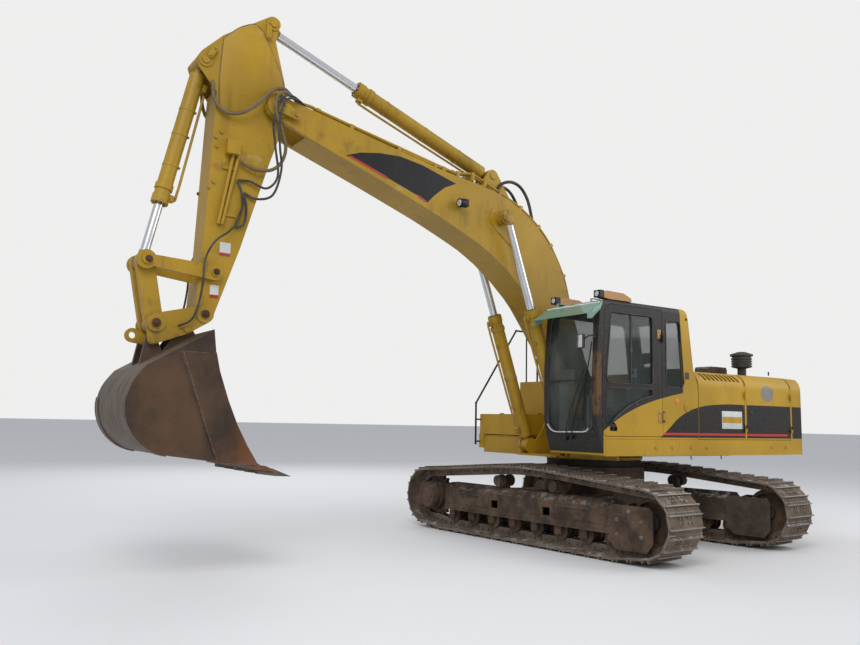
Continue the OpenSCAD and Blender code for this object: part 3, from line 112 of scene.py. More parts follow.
class Finish:
    """One material, built from nodes."""

    def __init__(self, name):
        self.material = bpy.data.materials.new(name)
        self.material.use_nodes = True
        self.tree = self.material.node_tree
        self.tree.nodes.clear()
        self.place = self.node("TexCoord", {}, {}, "Object")
        self.facing = self.node("NewGeometry", {}, {}, "Normal")
        self.x, self.y, self.z = self.split(self.place)
        _, self.side, self.up = self.split(self.facing)

    def node(self, kind, settings, sockets, out=0):
        """A new node's output socket: first the node's settings, then its sockets' values or links."""
        made = self.tree.nodes.new("ShaderNode" + kind)
        for key, value in settings.items():
            setattr(made, key, value)
        for key, value in sockets.items():
            if isinstance(value, Number):
                self.tree.links.new(value.socket, made.inputs[key])
            else:
                made.inputs[key].default_value = value
        return Number(self, made.outputs[out])

    def split(self, vector):
        """The three numbers of a vector socket."""
        parts = self.node("SeparateXYZ", {}, {0: vector}).socket.node
        return [Number(self, socket) for socket in parts.outputs]

    def stretched(self, x, y, z):
        return self.node("Mapping", {}, {"Vector": self.place, "Scale": (x, y, z)})

    def noise(self, scale, detail=3.0, rough=0.55, place=None):
        sockets = {"Vector": place or self.place, "Scale": scale, "Detail": detail, "Roughness": rough}
        return self.node("TexNoise", {}, sockets)

    def cells(self, scale):
        return self.node("TexVoronoi", {}, {"Vector": self.place, "Scale": scale})

    def mix(self, amount, first, second):
        return self.node("Mix", {"data_type": "RGBA"}, {0: amount, 6: first, 7: second}, 2)

    def curve(self, value, points):
        """A height read from a smooth curve through (place, height) points, both 0 to 1."""
        made = self.node("FloatCurve", {}, {"Value": value})
        mapping = made.socket.node.mapping
        line = mapping.curves[0].points
        for place, height in points[1:-1]:
            line.new(place, height)
        line[0].location, line[-1].location = points[0], points[-1]
        mapping.update()
        return made

    def edges(self, radius):
        """1 on the sharp outer edges, falling to 0 in from them."""
        soft = self.node("Bevel", {"samples": 4}, {"Radius": radius})
        both = self.node("VectorMath", {"operation": "DOT_PRODUCT"}, {0: soft, 1: self.facing}, 1)
        return (1 - both).above(0.02, 0.30)

    def bump(self, height, strength, distance):
        return self.node("Bump", {}, {"Height": height, "Strength": strength, "Distance": distance})

    def done(self, colour, rough, metal=0.0, normal=None, alpha=None, **constants):
        """The material, from what varies over its surface and plain values for the shader's other sockets."""
        sockets = {"Base Color": colour, "Roughness": rough, "Metallic": metal, "Normal": normal,
                   "Alpha": alpha}
        for key, value in constants.items():
            sockets[key.replace("_", " ").title().replace("Ior", "IOR")] = value
        shader = self.node("BsdfPrincipled", {}, {k: v for k, v in sockets.items() if v is not None})
        end = self.tree.nodes.new("ShaderNodeOutputMaterial")
        self.tree.links.new(shader.socket, end.inputs[0])
        return self.material


def shade(colour, amount):
    """The colour, darker or paler by that share."""
    return tuple(min(1.0, c * amount) for c in colour[:3]) + (1.0,)


MUD = (0.105, 0.078, 0.055, 1)
DARK_MUD = (0.045, 0.036, 0.029, 1)
RUST = (0.13, 0.055, 0.024, 1)
SNOW = (0.62, 0.64, 0.67, 1)
BARE = (0.20, 0.18, 0.165, 1)
DUST = (0.30, 0.26, 0.20, 1)
RAIN_STREAK = (0.060, 0.043, 0.024, 1)
OIL_STAIN = (0.135, 0.080, 0.018, 1)
BARED_PAINT = (0.40, 0.30, 0.13, 1)
LAMP_COVER_TAN = (0.44, 0.235, 0.085, 1)
BAND_BLACK = (0.007, 0.007, 0.009, 1)
BAND_RED = (0.50, 0.028, 0.030, 1)
# How far behind the swing axis the side band and the cab's swoosh start, and how long they are
BAND_BACK, BAND_LENGTH = 2.7, 3.0
SWOOSH_BACK, SWOOSH_LENGTH = 0.13, 1.36
# Heights of the band's foot and its red line over the ground, and how soft the paint's borders are
BAND_FOOT, LINE_FOOT, LINE_TOP, PAINT_EDGE = 1.372, 1.404, 1.432, 0.004
# Heights over the deck, at shares of the length from the tail to the cab and along the cab's side
BAND_CROWN = ((0.0, 0.47), (0.42, 0.470), (0.60, 0.462), (0.75, 0.412), (0.86, 0.295), (0.93, 0.150),
              (1.0, 0.0))
CAB_SWOOSH = ((0.0, 0.58), (0.22, 0.52), (0.43, 0.45), (0.65, 0.35), (0.84, 0.23), (1.0, 0.10))


def weathered(name, colour, dust, streaks, chips, low, mask=None):
    """Machine enamel: faded patches, rain streaks, settled dust, mud up to a height and chipped edges."""
    f = Finish(name)
    base = f.mix(f.noise(0.9, 4).above(0.32, 0.70), shade(colour, 0.84), shade(colour, 1.10))
    if mask:
        base = mask(f, base)
    fine = f.noise(38, 6, 0.7)
    base = f.mix(fine.above(0.45, 0.75) * 0.20, base, shade(colour, 0.55))
    run = f.noise(1.0, 5, 0.6, f.stretched(11, 11, 0.8)).above(0.50, 0.72)
    run = run * f.noise(2.1, 3).above(0.40, 0.62)
    base = f.mix(run * (0.42 * streaks), base, RAIN_STREAK)
    settled = (f.up.above(0.3, 0.95) * 0.80 + 0.10) * f.noise(3.4, 6, 0.65).above(0.34, 0.66)
    base = f.mix(settled * dust, base, DUST)
    spatter = f.noise(7.5, 7, 0.72) - (f.z - low) * 0.85
    muddy = spatter.above(0.46, 0.86)
    base = f.mix(muddy * 0.88, base, f.mix(fine, DARK_MUD, MUD))
    edge = f.edges(0.010) * f.noise(17, 5, 0.75).above(0.44, 0.60)
    spots = f.cells(26).below(0.03, 0.075) * f.noise(1.9, 4).above(0.54, 0.66)
    bare = (edge + spots).above(0.25, 0.8) * chips
    base = f.mix(bare, base, f.mix(f.noise(60, 3), RUST, BARE))
    rough = 0.36 + fine * 0.16 + muddy * 0.34 + settled * 0.25 + bare * 0.2
    ripple = f.noise(2.3, 2) * 0.9 + fine * 0.05 - bare * 0.08 + muddy * fine * 0.35
    return f.done(base, rough, normal=f.bump(ripple, 0.35, 0.006), coat_weight=0.03, coat_roughness=0.25,
                  specular_ior_level=0.28)


def side_band(f, base):
    """Black band with its red line along the doors and the tail, under the curve of the house."""
    x = f.x - AXIS_X
    top = f.curve((x + BAND_BACK) / BAND_LENGTH, BAND_CROWN) + DECK
    outer = f.side.above(0.25, 0.4) + f.x.below(AXIS_X - 2.56, AXIS_X - 2.55)
    band = (top - f.z).above(0.0, PAINT_EDGE) * f.z.above(BAND_FOOT, BAND_FOOT + PAINT_EDGE)
    band = band * outer.above(0.3, 0.6) * f.y.above(0.15, 0.2)
    line = f.z.above(LINE_FOOT, LINE_FOOT + PAINT_EDGE / 2) * x.above(-2.36, -2.355)
    line = line * f.z.below(LINE_TOP, LINE_TOP + PAINT_EDGE / 2)
    return f.mix(band, base, f.mix(line, BAND_BLACK, BAND_RED))


def cab_colours(f, base):
    """Black cab over a yellow swoosh and a yellow rear post, with the house's band below."""
    x = f.x - AXIS_X
    crown = f.curve((x + SWOOSH_BACK) / SWOOSH_LENGTH, CAB_SWOOSH) + DECK
    swoosh = (crown - f.z).above(0.0, PAINT_EDGE) * x.below(1.236, 1.240)
    grip = x.above(0.985, 0.990) * x.below(1.150, 1.155) * f.z.above(1.425, 1.430)
    swoosh = swoosh * (1 - grip * f.y.below(CAB_SIDE - 0.0005, CAB_SIDE))
    post = (x - (f.z - 2.01) * 0.04).below(-0.165, -0.161)
    inside = f.y.below(1.385, 1.392) * f.z.above(1.40, 1.41) * x.below(1.27, 1.28) * x.above(-0.40, -0.39)
    paint = (swoosh + post).maths("MINIMUM", 1.0) * (1 - inside)
    black = f.mix(f.noise(1.3, 4), (0.006, 0.006, 0.008, 1), (0.013, 0.013, 0.015, 1))
    corner = f.y.above(1.34, 1.36) * x.above(1.262, 1.270) * f.z.above(1.60, 1.66) * f.z.below(2.30, 2.40)
    ragged = f.noise(9, 5, 0.7, f.stretched(1, 1, 0.4)).above(0.42, 0.54)
    coated = f.mix(paint, black, base)
    return side_band(f, f.mix(corner * ragged * 0.75, coated, (0.125, 0.062, 0.014, 1)))


def arm_stains(f, base):
    """Brown oily patches and faded, almost bare ones."""
    oily = f.noise(2.6, 6, 0.68).above(0.57, 0.72)
    faded = f.noise(1.7, 6, 0.72, f.stretched(1, 1, 1.6)).above(0.60, 0.66)
    faded = faded * f.noise(7, 3).above(0.42, 0.55)
    pins = f.cells(9).below(0.05, 0.12) * f.noise(1.2, 2).above(0.50, 0.60)
    base = f.mix(oily * 0.55, base, OIL_STAIN)
    base = f.mix(pins * 0.5, base, (0.09, 0.05, 0.02, 1))
    return f.mix(faded * 0.45, base, BARED_PAINT)


def cap_colours(f, base):
    """Tan lamp cover; its head in front is black."""
    return f.mix(f.x.above(AXIS_X + 1.1875, AXIS_X + 1.1885), base, (0.014, 0.014, 0.016, 1))


def tail_colours(f, base):
    """The band, and a grey primed patch on the rear door."""
    across = ((f.x - AXIS_X + 1.91) / 0.15) ** 2 + ((f.z - 1.985) / 0.115) ** 2
    patch = (across + f.noise(8, 3) * 0.5).below(1.15, 1.25) * f.y.above(1.2, 1.3)
    return side_band(f, f.mix(patch, base, (0.215, 0.205, 0.175, 1)))


def steel(name, dark, light, snow=0.0, worn=0.6, bare=BARE, reach=0.008):
    """Rolled and cast steel with packed mud, rust and rubbed edges."""
    f = Finish(name)
    fine = f.noise(55, 6, 0.7)
    base = f.mix(f.noise(4.0, 6, 0.65).above(0.35, 0.68), dark, light)
    base = f.mix(f.noise(13, 5, 0.7).above(0.52, 0.72) * 0.6, base, RUST)
    base = f.mix(fine.above(0.5, 0.8) * 0.5, base, shade(dark, 0.5))
    rub = f.edges(reach) * f.noise(20, 4, 0.7).above(0.34, 0.56) * worn
    base = f.mix(rub, base, bare)
    white = f.up.above(0.55, 0.9) * f.noise(9, 7, 0.75).above(0.50, 0.62) * snow
    base = f.mix(white, base, SNOW)
    rough = 0.78 - rub * 0.35 + white * 0.15
    height = f.noise(12, 6, 0.7) + fine * 0.4
    return f.done(base, rough, rub * 0.6, f.bump(height, 0.6, 0.010), specular_ior_level=0.3)


def bucket_steel(name):
    """Bare digging plate: brown rust on the flanks, streaked and polished towards the lip."""
    f = Finish(name)
    fine = f.noise(60, 6, 0.7)
    x = f.x - AXIS_X
    rusty = f.noise(1.5, 6, 0.6).above(0.36, 0.66)
    base = f.mix(rusty, (0.030, 0.019, 0.013, 1), (0.095, 0.050, 0.024, 1))
    lip = (x + (f.z - 1.0) * 0.42).below(5.35, 5.80) * f.noise(2.0, 5, 0.6).above(0.30, 0.62)
    base = f.mix(lip * 0.80, base, (0.165, 0.052, 0.014, 1))
    blue = f.noise(1.9, 5, 0.62).above(0.54, 0.70) * x.above(5.45, 5.75)
    base = f.mix(blue * 0.6, base, (0.048, 0.050, 0.052, 1))
    shell = f.side.maths("ABSOLUTE").below(0.2, 0.4) * x.above(5.75, 5.95)
    runs = f.noise(2.0, 5, 0.62, f.stretched(1.5, 14, 1.5)).above(0.40, 0.66)
    base = f.mix(shell * 0.75, base, f.mix(runs, (0.075, 0.055, 0.042, 1), (0.205, 0.165, 0.130, 1)))
    low = f.z.below(1.0, 1.2) * f.noise(7, 5, 0.7).above(0.36, 0.62)
    base = f.mix(low * 0.4, base, (0.185, 0.150, 0.125, 1))
    base = f.mix(fine.above(0.5, 0.8) * 0.4, base, (0.035, 0.026, 0.02, 1))
    rub = f.edges(0.012) * f.noise(22, 4, 0.7).above(0.35, 0.58)
    base = f.mix(rub * 0.85, base, (0.27, 0.25, 0.235, 1))
    height = f.noise(9, 6, 0.68) + fine * 0.3
    return f.done(base, 0.60 - low * 0.12 - rub * 0.25, rub * 0.7 + low * 0.2, f.bump(height, 0.30, 0.008),
                  specular_ior_level=0.3)


def plated_rod(name, colour, x, z, eye):
    """Chrome rod; its eye, round the pin at (x, z), is painted."""
    f = Finish(name)
    film = f.noise(6, 4, 0.6).above(0.45, 0.75)
    plated = f.mix(film * 0.35, (0.70, 0.71, 0.73, 1), (0.42, 0.40, 0.36, 1))
    away = (((f.x - AXIS_X - x) ** 2 + (f.z - z) ** 2) ** 0.5).above(eye, eye + 0.002)
    painted = f.mix(f.noise(11, 6, 0.7).above(0.40, 0.66), colour, (0.11, 0.070, 0.030, 1))
    rough = 0.60 - away * 0.33 + film * 0.12
    return f.done(f.mix(away, painted, plated), rough, away, f.bump(f.noise(4, 2), 0.03, 0.001))


def clear_pane(name, tint, alpha, grime):
    """Glass or clear plastic that shows the inside through a thin film of grime."""
    f = Finish(name)
    film = f.noise(2.2, 5, 0.6).above(0.40, 0.80)
    specks = f.cells(90).below(0.015, 0.04) * f.noise(2.0, 3).above(0.56, 0.66)
    cover = (film * grime + specks * 0.3 + alpha).maths("MINIMUM", 0.95)
    base = f.mix(film * 0.4, tint, (0.16, 0.17, 0.16, 1))
    return f.done(base, 0.05 + film * 0.06, alpha=cover, specular_ior_level=0.6)


def moulded(name, colour, rough=0.55, dust=0.3, grain=0.25):
    """Moulded plastic or rubber with a fine leather grain and dust in it, and painted shade in the grain's
    pits.
    """
    f = Finish(name)
    pits = f.cells(260)
    film = f.noise(5, 6, 0.68).above(0.38, 0.70)
    base = f.mix(film * dust, colour, (0.20, 0.175, 0.14, 1))
    # The grain's pits are painted darker: painted shade in them
    base = f.mix(pits.below(0.0, 0.4) * 0.25, base, shade(colour, 0.6))
    return f.done(base, rough + film * 0.2, normal=f.bump(pits + f.noise(20, 3) * 0.5, grain, 0.002))


def woven(name, colour):
    """Plain woven cloth, rubbed paler in patches, with painted shade between the threads and painted
    highlight on their tops.
    """
    f = Finish(name)
    threads = {"Vector": f.place, "Scale": 110.0, "Distortion": 0.3}
    warp, weft = (f.node("TexWave", {"bands_direction": way}, threads) for way in "ZY")
    cloth = warp * 0.5 + weft * 0.5
    # The threads' tops are painted lighter and the gaps between them darker: painted highlight and painted
    # shade
    base = f.mix(cloth, shade(colour, 0.55), shade(colour, 1.25))
    base = f.mix(f.noise(6, 4).above(0.45, 0.7) * 0.3, base, (0.12, 0.11, 0.10, 1))
    return f.done(base, 0.9, normal=f.bump(cloth + f.noise(9, 3), 0.5, 0.002))


def lamp_lens(name, colour):
    """Fluted glass over a reflector, painted darker in the flutes' grooves as painted shade."""
    f = Finish(name)
    flutes = f.node("TexWave", {"bands_direction": "Y"}, {"Vector": f.place, "Scale": 40.0})
    # The flutes' grooves are painted darker than their crests: painted shade
    base = f.mix(flutes, shade(colour, 0.7), colour)
    return f.done(base, 0.12 + f.noise(8, 3) * 0.1, 0.3, f.bump(flutes, 0.4, 0.003))


def plain_metal(name, colour, rough):
    """Metal that shines through a dull film."""
    f = Finish(name)
    film = f.noise(7, 4, 0.6).above(0.45, 0.75)
    return f.done(f.mix(film * 0.3, colour, (0.30, 0.29, 0.27, 1)), rough + film * 0.12, 1.0)


def snow_cover(name):
    """Lumpy old snow, painted darker between its lumps and lighter on their tops: painted shade and painted
    highlight.
    """
    f = Finish(name)
    lumps = f.noise(24, 6, 0.7)
    # The hollows between the lumps are painted darker and their tops lighter: painted shade and painted
    # highlight
    base = f.mix(lumps, (0.52, 0.54, 0.57, 1), (0.78, 0.80, 0.83, 1))
    return f.done(base, 0.9, normal=f.bump(lumps, 0.6, 0.01))


FINISHES = {}


def make_finishes(colours):
    """Every material of the machine, under the short names that the pieces ask for."""
    yellow, arm, black = tuple(colours.body), tuple(colours.arm), tuple(colours.black)
    FINISHES.update(
        body=weathered("body enamel", yellow, 0.16, 0.5, 0.55, 1.12),
        banded=weathered("banded enamel", yellow, 0.10, 0.45, 0.5, 1.02, side_band),
        tail=weathered("tail enamel", yellow, 0.10, 0.45, 0.5, 1.02, tail_colours),
        cab=weathered("cab enamel", yellow, 0.06, 0.35, 0.4, 1.02, cab_colours),
        cap=weathered("lamp cover enamel", LAMP_COVER_TAN, 0.25, 0.2, 0.2, 0.9, cap_colours),
        arm=weathered("arm enamel", arm, 0.22, 0.8, 0.75, 0.3, arm_stains),
        worn=weathered("worn arm enamel", arm, 0.30, 1.0, 1.0, 2.35, arm_stains),
        black=weathered("black enamel", black, 0.12, 0.5, 0.5, 0.95),
        track=steel("track steel", (0.095, 0.068, 0.048, 1), (0.190, 0.145, 0.105, 1), 0.60, 1.0,
                    (0.40, 0.37, 0.33, 1), 0.014),
        frame=steel("frame steel", (0.040, 0.028, 0.021, 1), (0.125, 0.080, 0.050, 1), 0.35, 0.45),
        snowy=steel("snowy frame steel", (0.052, 0.040, 0.033, 1), (0.110, 0.084, 0.062, 1), 0.95, 0.45),
        pin=steel("rusty pin steel", (0.050, 0.022, 0.012, 1), (0.100, 0.045, 0.022, 1), 0.0, 0.3),
        bare=plain_metal("worn bright steel", (0.300, 0.275, 0.245, 1), 0.42),
        hub=steel("drive steel", (0.070, 0.042, 0.032, 1), (0.120, 0.074, 0.052, 1), 0.2, 0.5),
        # Near-black bearing steel: dark steel darkened further as painted shadow under the house
        bearing=steel("bearing steel in painted shadow", (0.018, 0.017, 0.017, 1), (0.050, 0.044, 0.038, 1), 0.1, 0.4),
        bucket=bucket_steel("bucket steel"),
        teeth=steel("tooth steel", (0.080, 0.060, 0.048, 1), (0.150, 0.120, 0.100, 1), 0.0, 1.0),
        boom_rod=plated_rod("boom rods", arm, 1.870, 4.120, 0.125),
        stick_rod=plated_rod("stick rod", arm, 5.005, 5.850, 0.130),
        bucket_rod=plated_rod("bucket rod", arm, 6.215, 3.040, 0.120),
        glass=clear_pane("cab glass", (0.026, 0.040, 0.035, 1), 0.34, 0.08),
        visor=clear_pane("visor plastic", (0.230, 0.400, 0.300, 1), 0.62, 0.2),
        plastic=moulded("dark plastic", (0.020, 0.020, 0.021, 1)),
        rubber=moulded("hose rubber", (0.014, 0.014, 0.015, 1), 0.6, 0.35, 0.4),
        muddy=moulded("muddy hose", (0.120, 0.078, 0.030, 1), 0.65, 0.5, 0.4),
        tan=moulded("tan cover", LAMP_COVER_TAN, 0.6, 0.25),
        grey=moulded("cab lining", (0.230, 0.245, 0.215, 1), 0.7, 0.2),
        fabric=woven("seat cloth", (0.040, 0.042, 0.050, 1)),
        engine=steel("engine paint", (0.09, 0.06, 0.03, 1), (0.20, 0.13, 0.05, 1), 0.0, 0.3),
        lens=lamp_lens("lamp lens", (0.62, 0.66, 0.68, 1)),
        white=moulded("white plastic", (0.60, 0.61, 0.60, 1), 0.35, 0.25, 0.05),
        amber=moulded("amber reflector", (0.62, 0.20, 0.02, 1), 0.3, 0.15, 0.05),
        red=moulded("red plastic", (0.36, 0.016, 0.018, 1), 0.4, 0.25, 0.05),
        snow=snow_cover("settled snow"),
        mirror=plain_metal("mirror glass", (0.80, 0.81, 0.82, 1), 0.25),
        screen=lamp_lens("display glass", (0.020, 0.030, 0.034, 1)),
    )


NODE_FINISH = {
    "frame": "car_body track_frame_right rollers_left rollers_right idler_left idler_right",
    "track": "track_left track_right",
    "hub": "sprocket_left sprocket_right",
    "bearing": "swing_bearing",
    "body": "platform hood house_panels fuel_tank toolbox toolbox_lid pump_door",
    "banded": "side_door_front counterweight",
    "tail": "side_door_rear",
    "cab": "cab_shell cab_door",
    "black": "handrails side_mirror",
    "snowy": "track_frame_left muffler",
    "cap": "work_lights",
    "arm": "boom stick boom_lines stick_lines boom_cylinder_barrels stick_cylinder_barrel "
    "bucket_cylinder_barrel",
    "worn": "side_links connecting_link coupler",
    "boom_rod": "boom_cylinder_rods",
    "stick_rod": "stick_cylinder_rod",
    "bucket_rod": "bucket_cylinder_rod",
    "bucket": "bucket",
    "teeth": "bucket_teeth",
    "glass": "cab_glass cab_door_glass",
    "visor": "sun_visor",
    "grey": "cab_controls",
    "plastic": "precleaner valve_block",
    "engine": "engine_block radiator",
    "fabric": "cab_seat",
}


def dress(node, finish):
    """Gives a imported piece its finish."""
    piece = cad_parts[node]
    if not piece.material_slots:
        piece.data.materials.append(None)
    for slot in piece.material_slots:
        slot.material = FINISHES[finish]


def at(x, y, z):
    """A place given from the swing axis and the ground, in the frame."""
    return Vector((x + AXIS_X, y, z))


def under(x, y, z):
    """A place given along the undercarriage, which stands turned under the house."""
    turned = Matrix.Rotation(UNDER_TURN, 3, "Z") @ Vector((x, y, z))
    return turned + Vector((AXIS_X, 0, 0))


def in_plane(points, y):
    """Points given as (x, z) from the swing axis, in the upright plane at that y."""
    return [at(x, y, z) for x, z in points]


def smooth_route(points, steps=7):
    """A smooth line through the points, as close points."""
    points = [Vector(p) for p in points]
    row = [points[0] * 2 - points[1]] + points + [points[-1] * 2 - points[-2]]
    route = []
    for a, b, c, d in zip(row, row[1:], row[2:], row[3:]):
        for k in range(steps):
            t = k / steps
            bend = (2 * a - 5 * b + 4 * c - d) * t * t + (3 * b - a - 3 * c + d) * t ** 3
            route.append(0.5 * ((2 * b) + (c - a) * t + bend))
    return route + [points[-1]]


def length_of(route):
    return sum((b - a).length for a, b in zip(route, route[1:]))


# Edges that turn more than this get their bevel, in radians
SHARP_TURN = 0.45


def spoke(k, count, radius):
    """The two places of the k-th of so many points on a circle."""
    turn = math.tau * k / count
    return radius * math.cos(turn), radius * math.sin(turn)


class Form:
    """One new piece, shaped by Blender's mesh operators."""

    def __init__(self):
        self.mesh = bmesh.new()

    def soften(self, verts, width):
        """Rounds the sharp edges round those vertices."""
        if width:
            edges = {edge for vert in verts for edge in vert.link_edges if len(edge.link_faces) == 2}
            sharp = [edge for edge in edges if edge.calc_face_angle(0) > SHARP_TURN]
            bmesh.ops.bevel(self.mesh, geom=sharp, offset=width, segments=2, profile=0.5, affect="EDGES",
                            material=-1)

    def block(self, low, high, soft=0.0, place=Matrix()):
        """A box between two corners."""
        low, high = Vector(low), Vector(high)
        matrix = place @ Matrix.Translation((low + high) / 2) @ Matrix.Diagonal((*(high - low), 1))
        self.soften(bmesh.ops.create_cube(self.mesh, size=1, matrix=matrix)["verts"], soft)

    def plate(self, outline, thick, soft=0.0):
        """A plate over the outline, a list of places in one plane, thickened by that vector."""
        face = self.mesh.faces.new([self.mesh.verts.new(p) for p in outline])
        grown = bmesh.ops.extrude_face_region(self.mesh, geom=[face])["geom"]
        verts = [v for v in grown if isinstance(v, bmesh.types.BMVert)]
        bmesh.ops.translate(self.mesh, vec=thick, verts=verts)
        bmesh.ops.recalc_face_normals(self.mesh, faces=self.mesh.faces)
        self.soften(verts, soft)

    def round(self, start, end, radius, end_radius=None, sides=24, soft=0.0):
        """A disc, pin or cone from start to end."""
        start, end = Vector(start), Vector(end)
        way = end - start
        matrix = Matrix.Translation((start + end) / 2) @ way.to_track_quat("Z", "Y").to_matrix().to_4x4()
        made = bmesh.ops.create_cone(self.mesh, cap_ends=True, segments=sides, radius1=radius,
                                     radius2=end_radius or radius, depth=way.length, matrix=matrix)
        self.soften(made["verts"], soft)

    def cap(self, place, height, radius, end_radius=None, sides=24, soft=0.0):
        """A disc on a side face of the machine, of that height along Y; the place is in the frame."""
        self.round(place, place + ACROSS * height, radius, end_radius, sides, soft)

    def bolt(self, place, facing, width, washer=True):
        """A bolt head on its washer, set a little into what carries it."""
        place, facing = Vector(place), Vector(facing).normalized()
        if washer:
            self.round(place - facing * 0.001, place + facing * 0.1 * width, 0.72 * width, sides=14)
        self.round(place - facing * 0.001, place + facing * 0.62 * width, 0.56 * width, 0.52 * width, sides=6)

    def strap(self, a, b, wide, narrow, thick):
        """A flat link with round ends from a to b in an upright plane."""
        a, b = Vector(a), Vector(b)
        along = (b - a).normalized()
        across = along.cross(ACROSS)
        outline = []
        for centre, radius, start in ((a, wide, 90), (b, narrow, -90)):
            for k in range(9):
                turn = math.radians(start + k * 22.5)
                outline.append(centre + along * radius * math.cos(turn) + across * radius * math.sin(turn))
        self.plate(outline, thick, 0.002)

    def tube(self, route, radius, sides=10, closed=False):
        """A round tube along close points, made by sweeping a ring of vertices."""
        curve = bpy.data.curves.new("route", "CURVE")
        curve.dimensions, curve.bevel_depth, curve.bevel_resolution = "3D", radius, max(1, sides // 2 - 2)
        curve.use_fill_caps = not closed
        line = curve.splines.new("POLY")
        line.points.add(len(route) - 1)
        for point, place in zip(line.points, route):
            point.co = (*place, 1)
        line.use_cyclic_u = closed
        holder = bpy.data.objects.new("route", curve)
        swept = bpy.data.meshes.new_from_object(holder)
        self.mesh.from_mesh(swept)
        bpy.data.objects.remove(holder)
        bpy.data.meshes.remove(swept)
        bpy.data.curves.remove(curve)

    def lathe(self, profile, foot, axis, steps=32):
        """A turned shape: (radius, height) points from pole to pole, spun round the axis through its foot."""
        turn = Vector(axis).to_track_quat("Z", "Y").to_matrix().to_4x4()
        place = Matrix.Translation(foot) @ turn
        verts = [self.mesh.verts.new(place @ Vector((r, 0, h))) for r, h in profile]
        edges = [self.mesh.edges.new(pair) for pair in zip(verts, verts[1:])]
        bmesh.ops.spin(self.mesh, geom=verts + edges, cent=foot, axis=axis, angle=math.tau, steps=steps,
                       use_merge=True)
        bmesh.ops.remove_doubles(self.mesh, verts=self.mesh.verts, dist=0.00002)

    def done(self, name, finish, body=None, crease=0.55):
        """The finished piece; it rides on that body."""
        bmesh.ops.recalc_face_normals(self.mesh, faces=self.mesh.faces)
        data = bpy.data.meshes.new(name)
        self.mesh.to_mesh(data)
        self.mesh.free()
        data.shade_smooth()
        data.set_sharp_from_angle(angle=crease)
        data.materials.append(FINISHES[finish])
        piece = bpy.data.objects.new(name, data)
        bpy.context.scene.collection.objects.link(piece)
        if body:
            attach(piece, body)
        return piece


def hose(name, points, radius, finish, bodies):
    """A free hose through the points; on one body it rides on that body, and between two bodies it rides on
    neither.
    """
    route = smooth_route(points)
    form = Form()
    form.tube(route, radius)
    piece = form.done(name, finish, None if len(bodies) == 2 else bodies[0])
    if len(bodies) == 2:
        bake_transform(piece)
    return (piece, length_of(route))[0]


# A cushion's simulation and the most it swells, and its channels' half width and share of depth
FILLING_FRAMES, FILLING_PRESSURE, SWELL = 20, 4, 0.014
CHANNEL_HALF, CHANNEL_DEPTH = 0.016, 0.075


def evaluated_mesh(piece):
    """The piece's mesh with its modifiers applied."""
    return bpy.data.meshes.new_from_object(piece.evaluated_get(bpy.context.evaluated_depsgraph_get()))


def cushion(name, low, high, lean, channels):
    """A stuffed pad: a rounded block blown up by a cloth simulation, then pressed in along its channels."""
    form = Form()
    form.block(low, high, 0.035, lean)
    pad = form.done(name, "fabric")
    shape = pad.modifiers.new("even mesh", "REMESH")
    shape.mode, shape.voxel_size = "VOXEL", 0.009
    bpy.context.view_layer.update()
    rest = evaluated_mesh(pad)
    pad.modifiers.remove(shape)
    pad.data = rest
    before = [v.co.copy() for v in rest.vertices]
    cloth = pad.modifiers.new("filling", "CLOTH")
    cloth.settings.use_pressure, cloth.settings.uniform_pressure_force = True, FILLING_PRESSURE
    cloth.settings.effector_weights.gravity = 0
    cloth.point_cache.frame_start, cloth.point_cache.frame_end = 1, FILLING_FRAMES
    for number in range(1, FILLING_FRAMES + 1):
        bpy.context.scene.frame_set(number)
    blown = evaluated_mesh(pad)
    pad.modifiers.remove(cloth)
    bpy.context.scene.frame_set(1)
    pad.data = blown
    centre = (Vector(low) + Vector(high)) / 2
    back = lean.inverted()
    for vert, start in zip(pad.data.vertices, before):
        move = vert.co - start
        vert.co = start + move * min(1.0, SWELL / max(move.length, 1e-6))
        local = back @ vert.co
        inward = Vector((0, 0, 0))
        for axis, line in channels:
            far = abs(local[axis] - line) / CHANNEL_HALF
            if far < 1:
                inward += (centre - local) * CHANNEL_DEPTH * (1 - far * far) ** 2
        vert.co = lean @ (local + inward)
    pad.data.shade_smooth()
    pad.data.materials.clear()
    pad.data.materials.append(FINISHES["fabric"])
    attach(pad, "upper")
    return pad


class ExcavatorColours(bpy.types.PropertyGroup):
    """Colours that a user would change."""

    body: FloatVectorProperty(
        name="Body yellow", description="Enamel of the house and cab", subtype="COLOR", size=4, min=0, max=1,
        default=(0.440, 0.258, 0.012, 1))
    arm: FloatVectorProperty(
        name="Arm yellow", description="Enamel of the boom and stick", subtype="COLOR", size=4, min=0, max=1,
        default=(0.375, 0.222, 0.014, 1))
    black: FloatVectorProperty(
        name="Black", description="Enamel of the cab frame and rails", subtype="COLOR", size=4, min=0, max=1,
        default=(0.008, 0.008, 0.010, 1))
    floor: FloatVectorProperty(
        name="Floor", description="Stage floor", subtype="COLOR", size=4, min=0, max=1,
        default=(0.70, 0.70, 0.71, 1))


class ExcavatorSizes(bpy.types.PropertyGroup):
    """Sizes that a user would change."""

    bolt: FloatProperty(
        name="Bolt", description="Width of a bolt head across its flats", default=0.030, unit="LENGTH")


LAMPS = (  # name, place, power and size
    ("key lamp", (9, 9, 13), 1250, 9),
    ("fill lamp", (-10, 8, 8), 600, 9),
    ("back lamp", (-2, -13, 10), 600, 9),
)
LAMP_AIM = Vector((0, 0, 1.5))
SKY_COLOUR, SKY_POWER = (0.93, 0.96, 1.0, 1), 0.62
BACKDROP_COLOUR, BACKDROP_POWER = (0.86, 0.86, 0.855, 1), 1.0
FLOOR_HALF, FLOOR_GAP = 260, 0.001
CAMERA_PLACE, YAW, PITCH, ROLL = (8.0997, 8.2343, 1.5109), -2.1467, 0.1226, 0.0202
SENSOR, FOCAL_PIXELS, PICTURE_WIDTH, VIEW_END = 36.0, 804.391, 860, 500


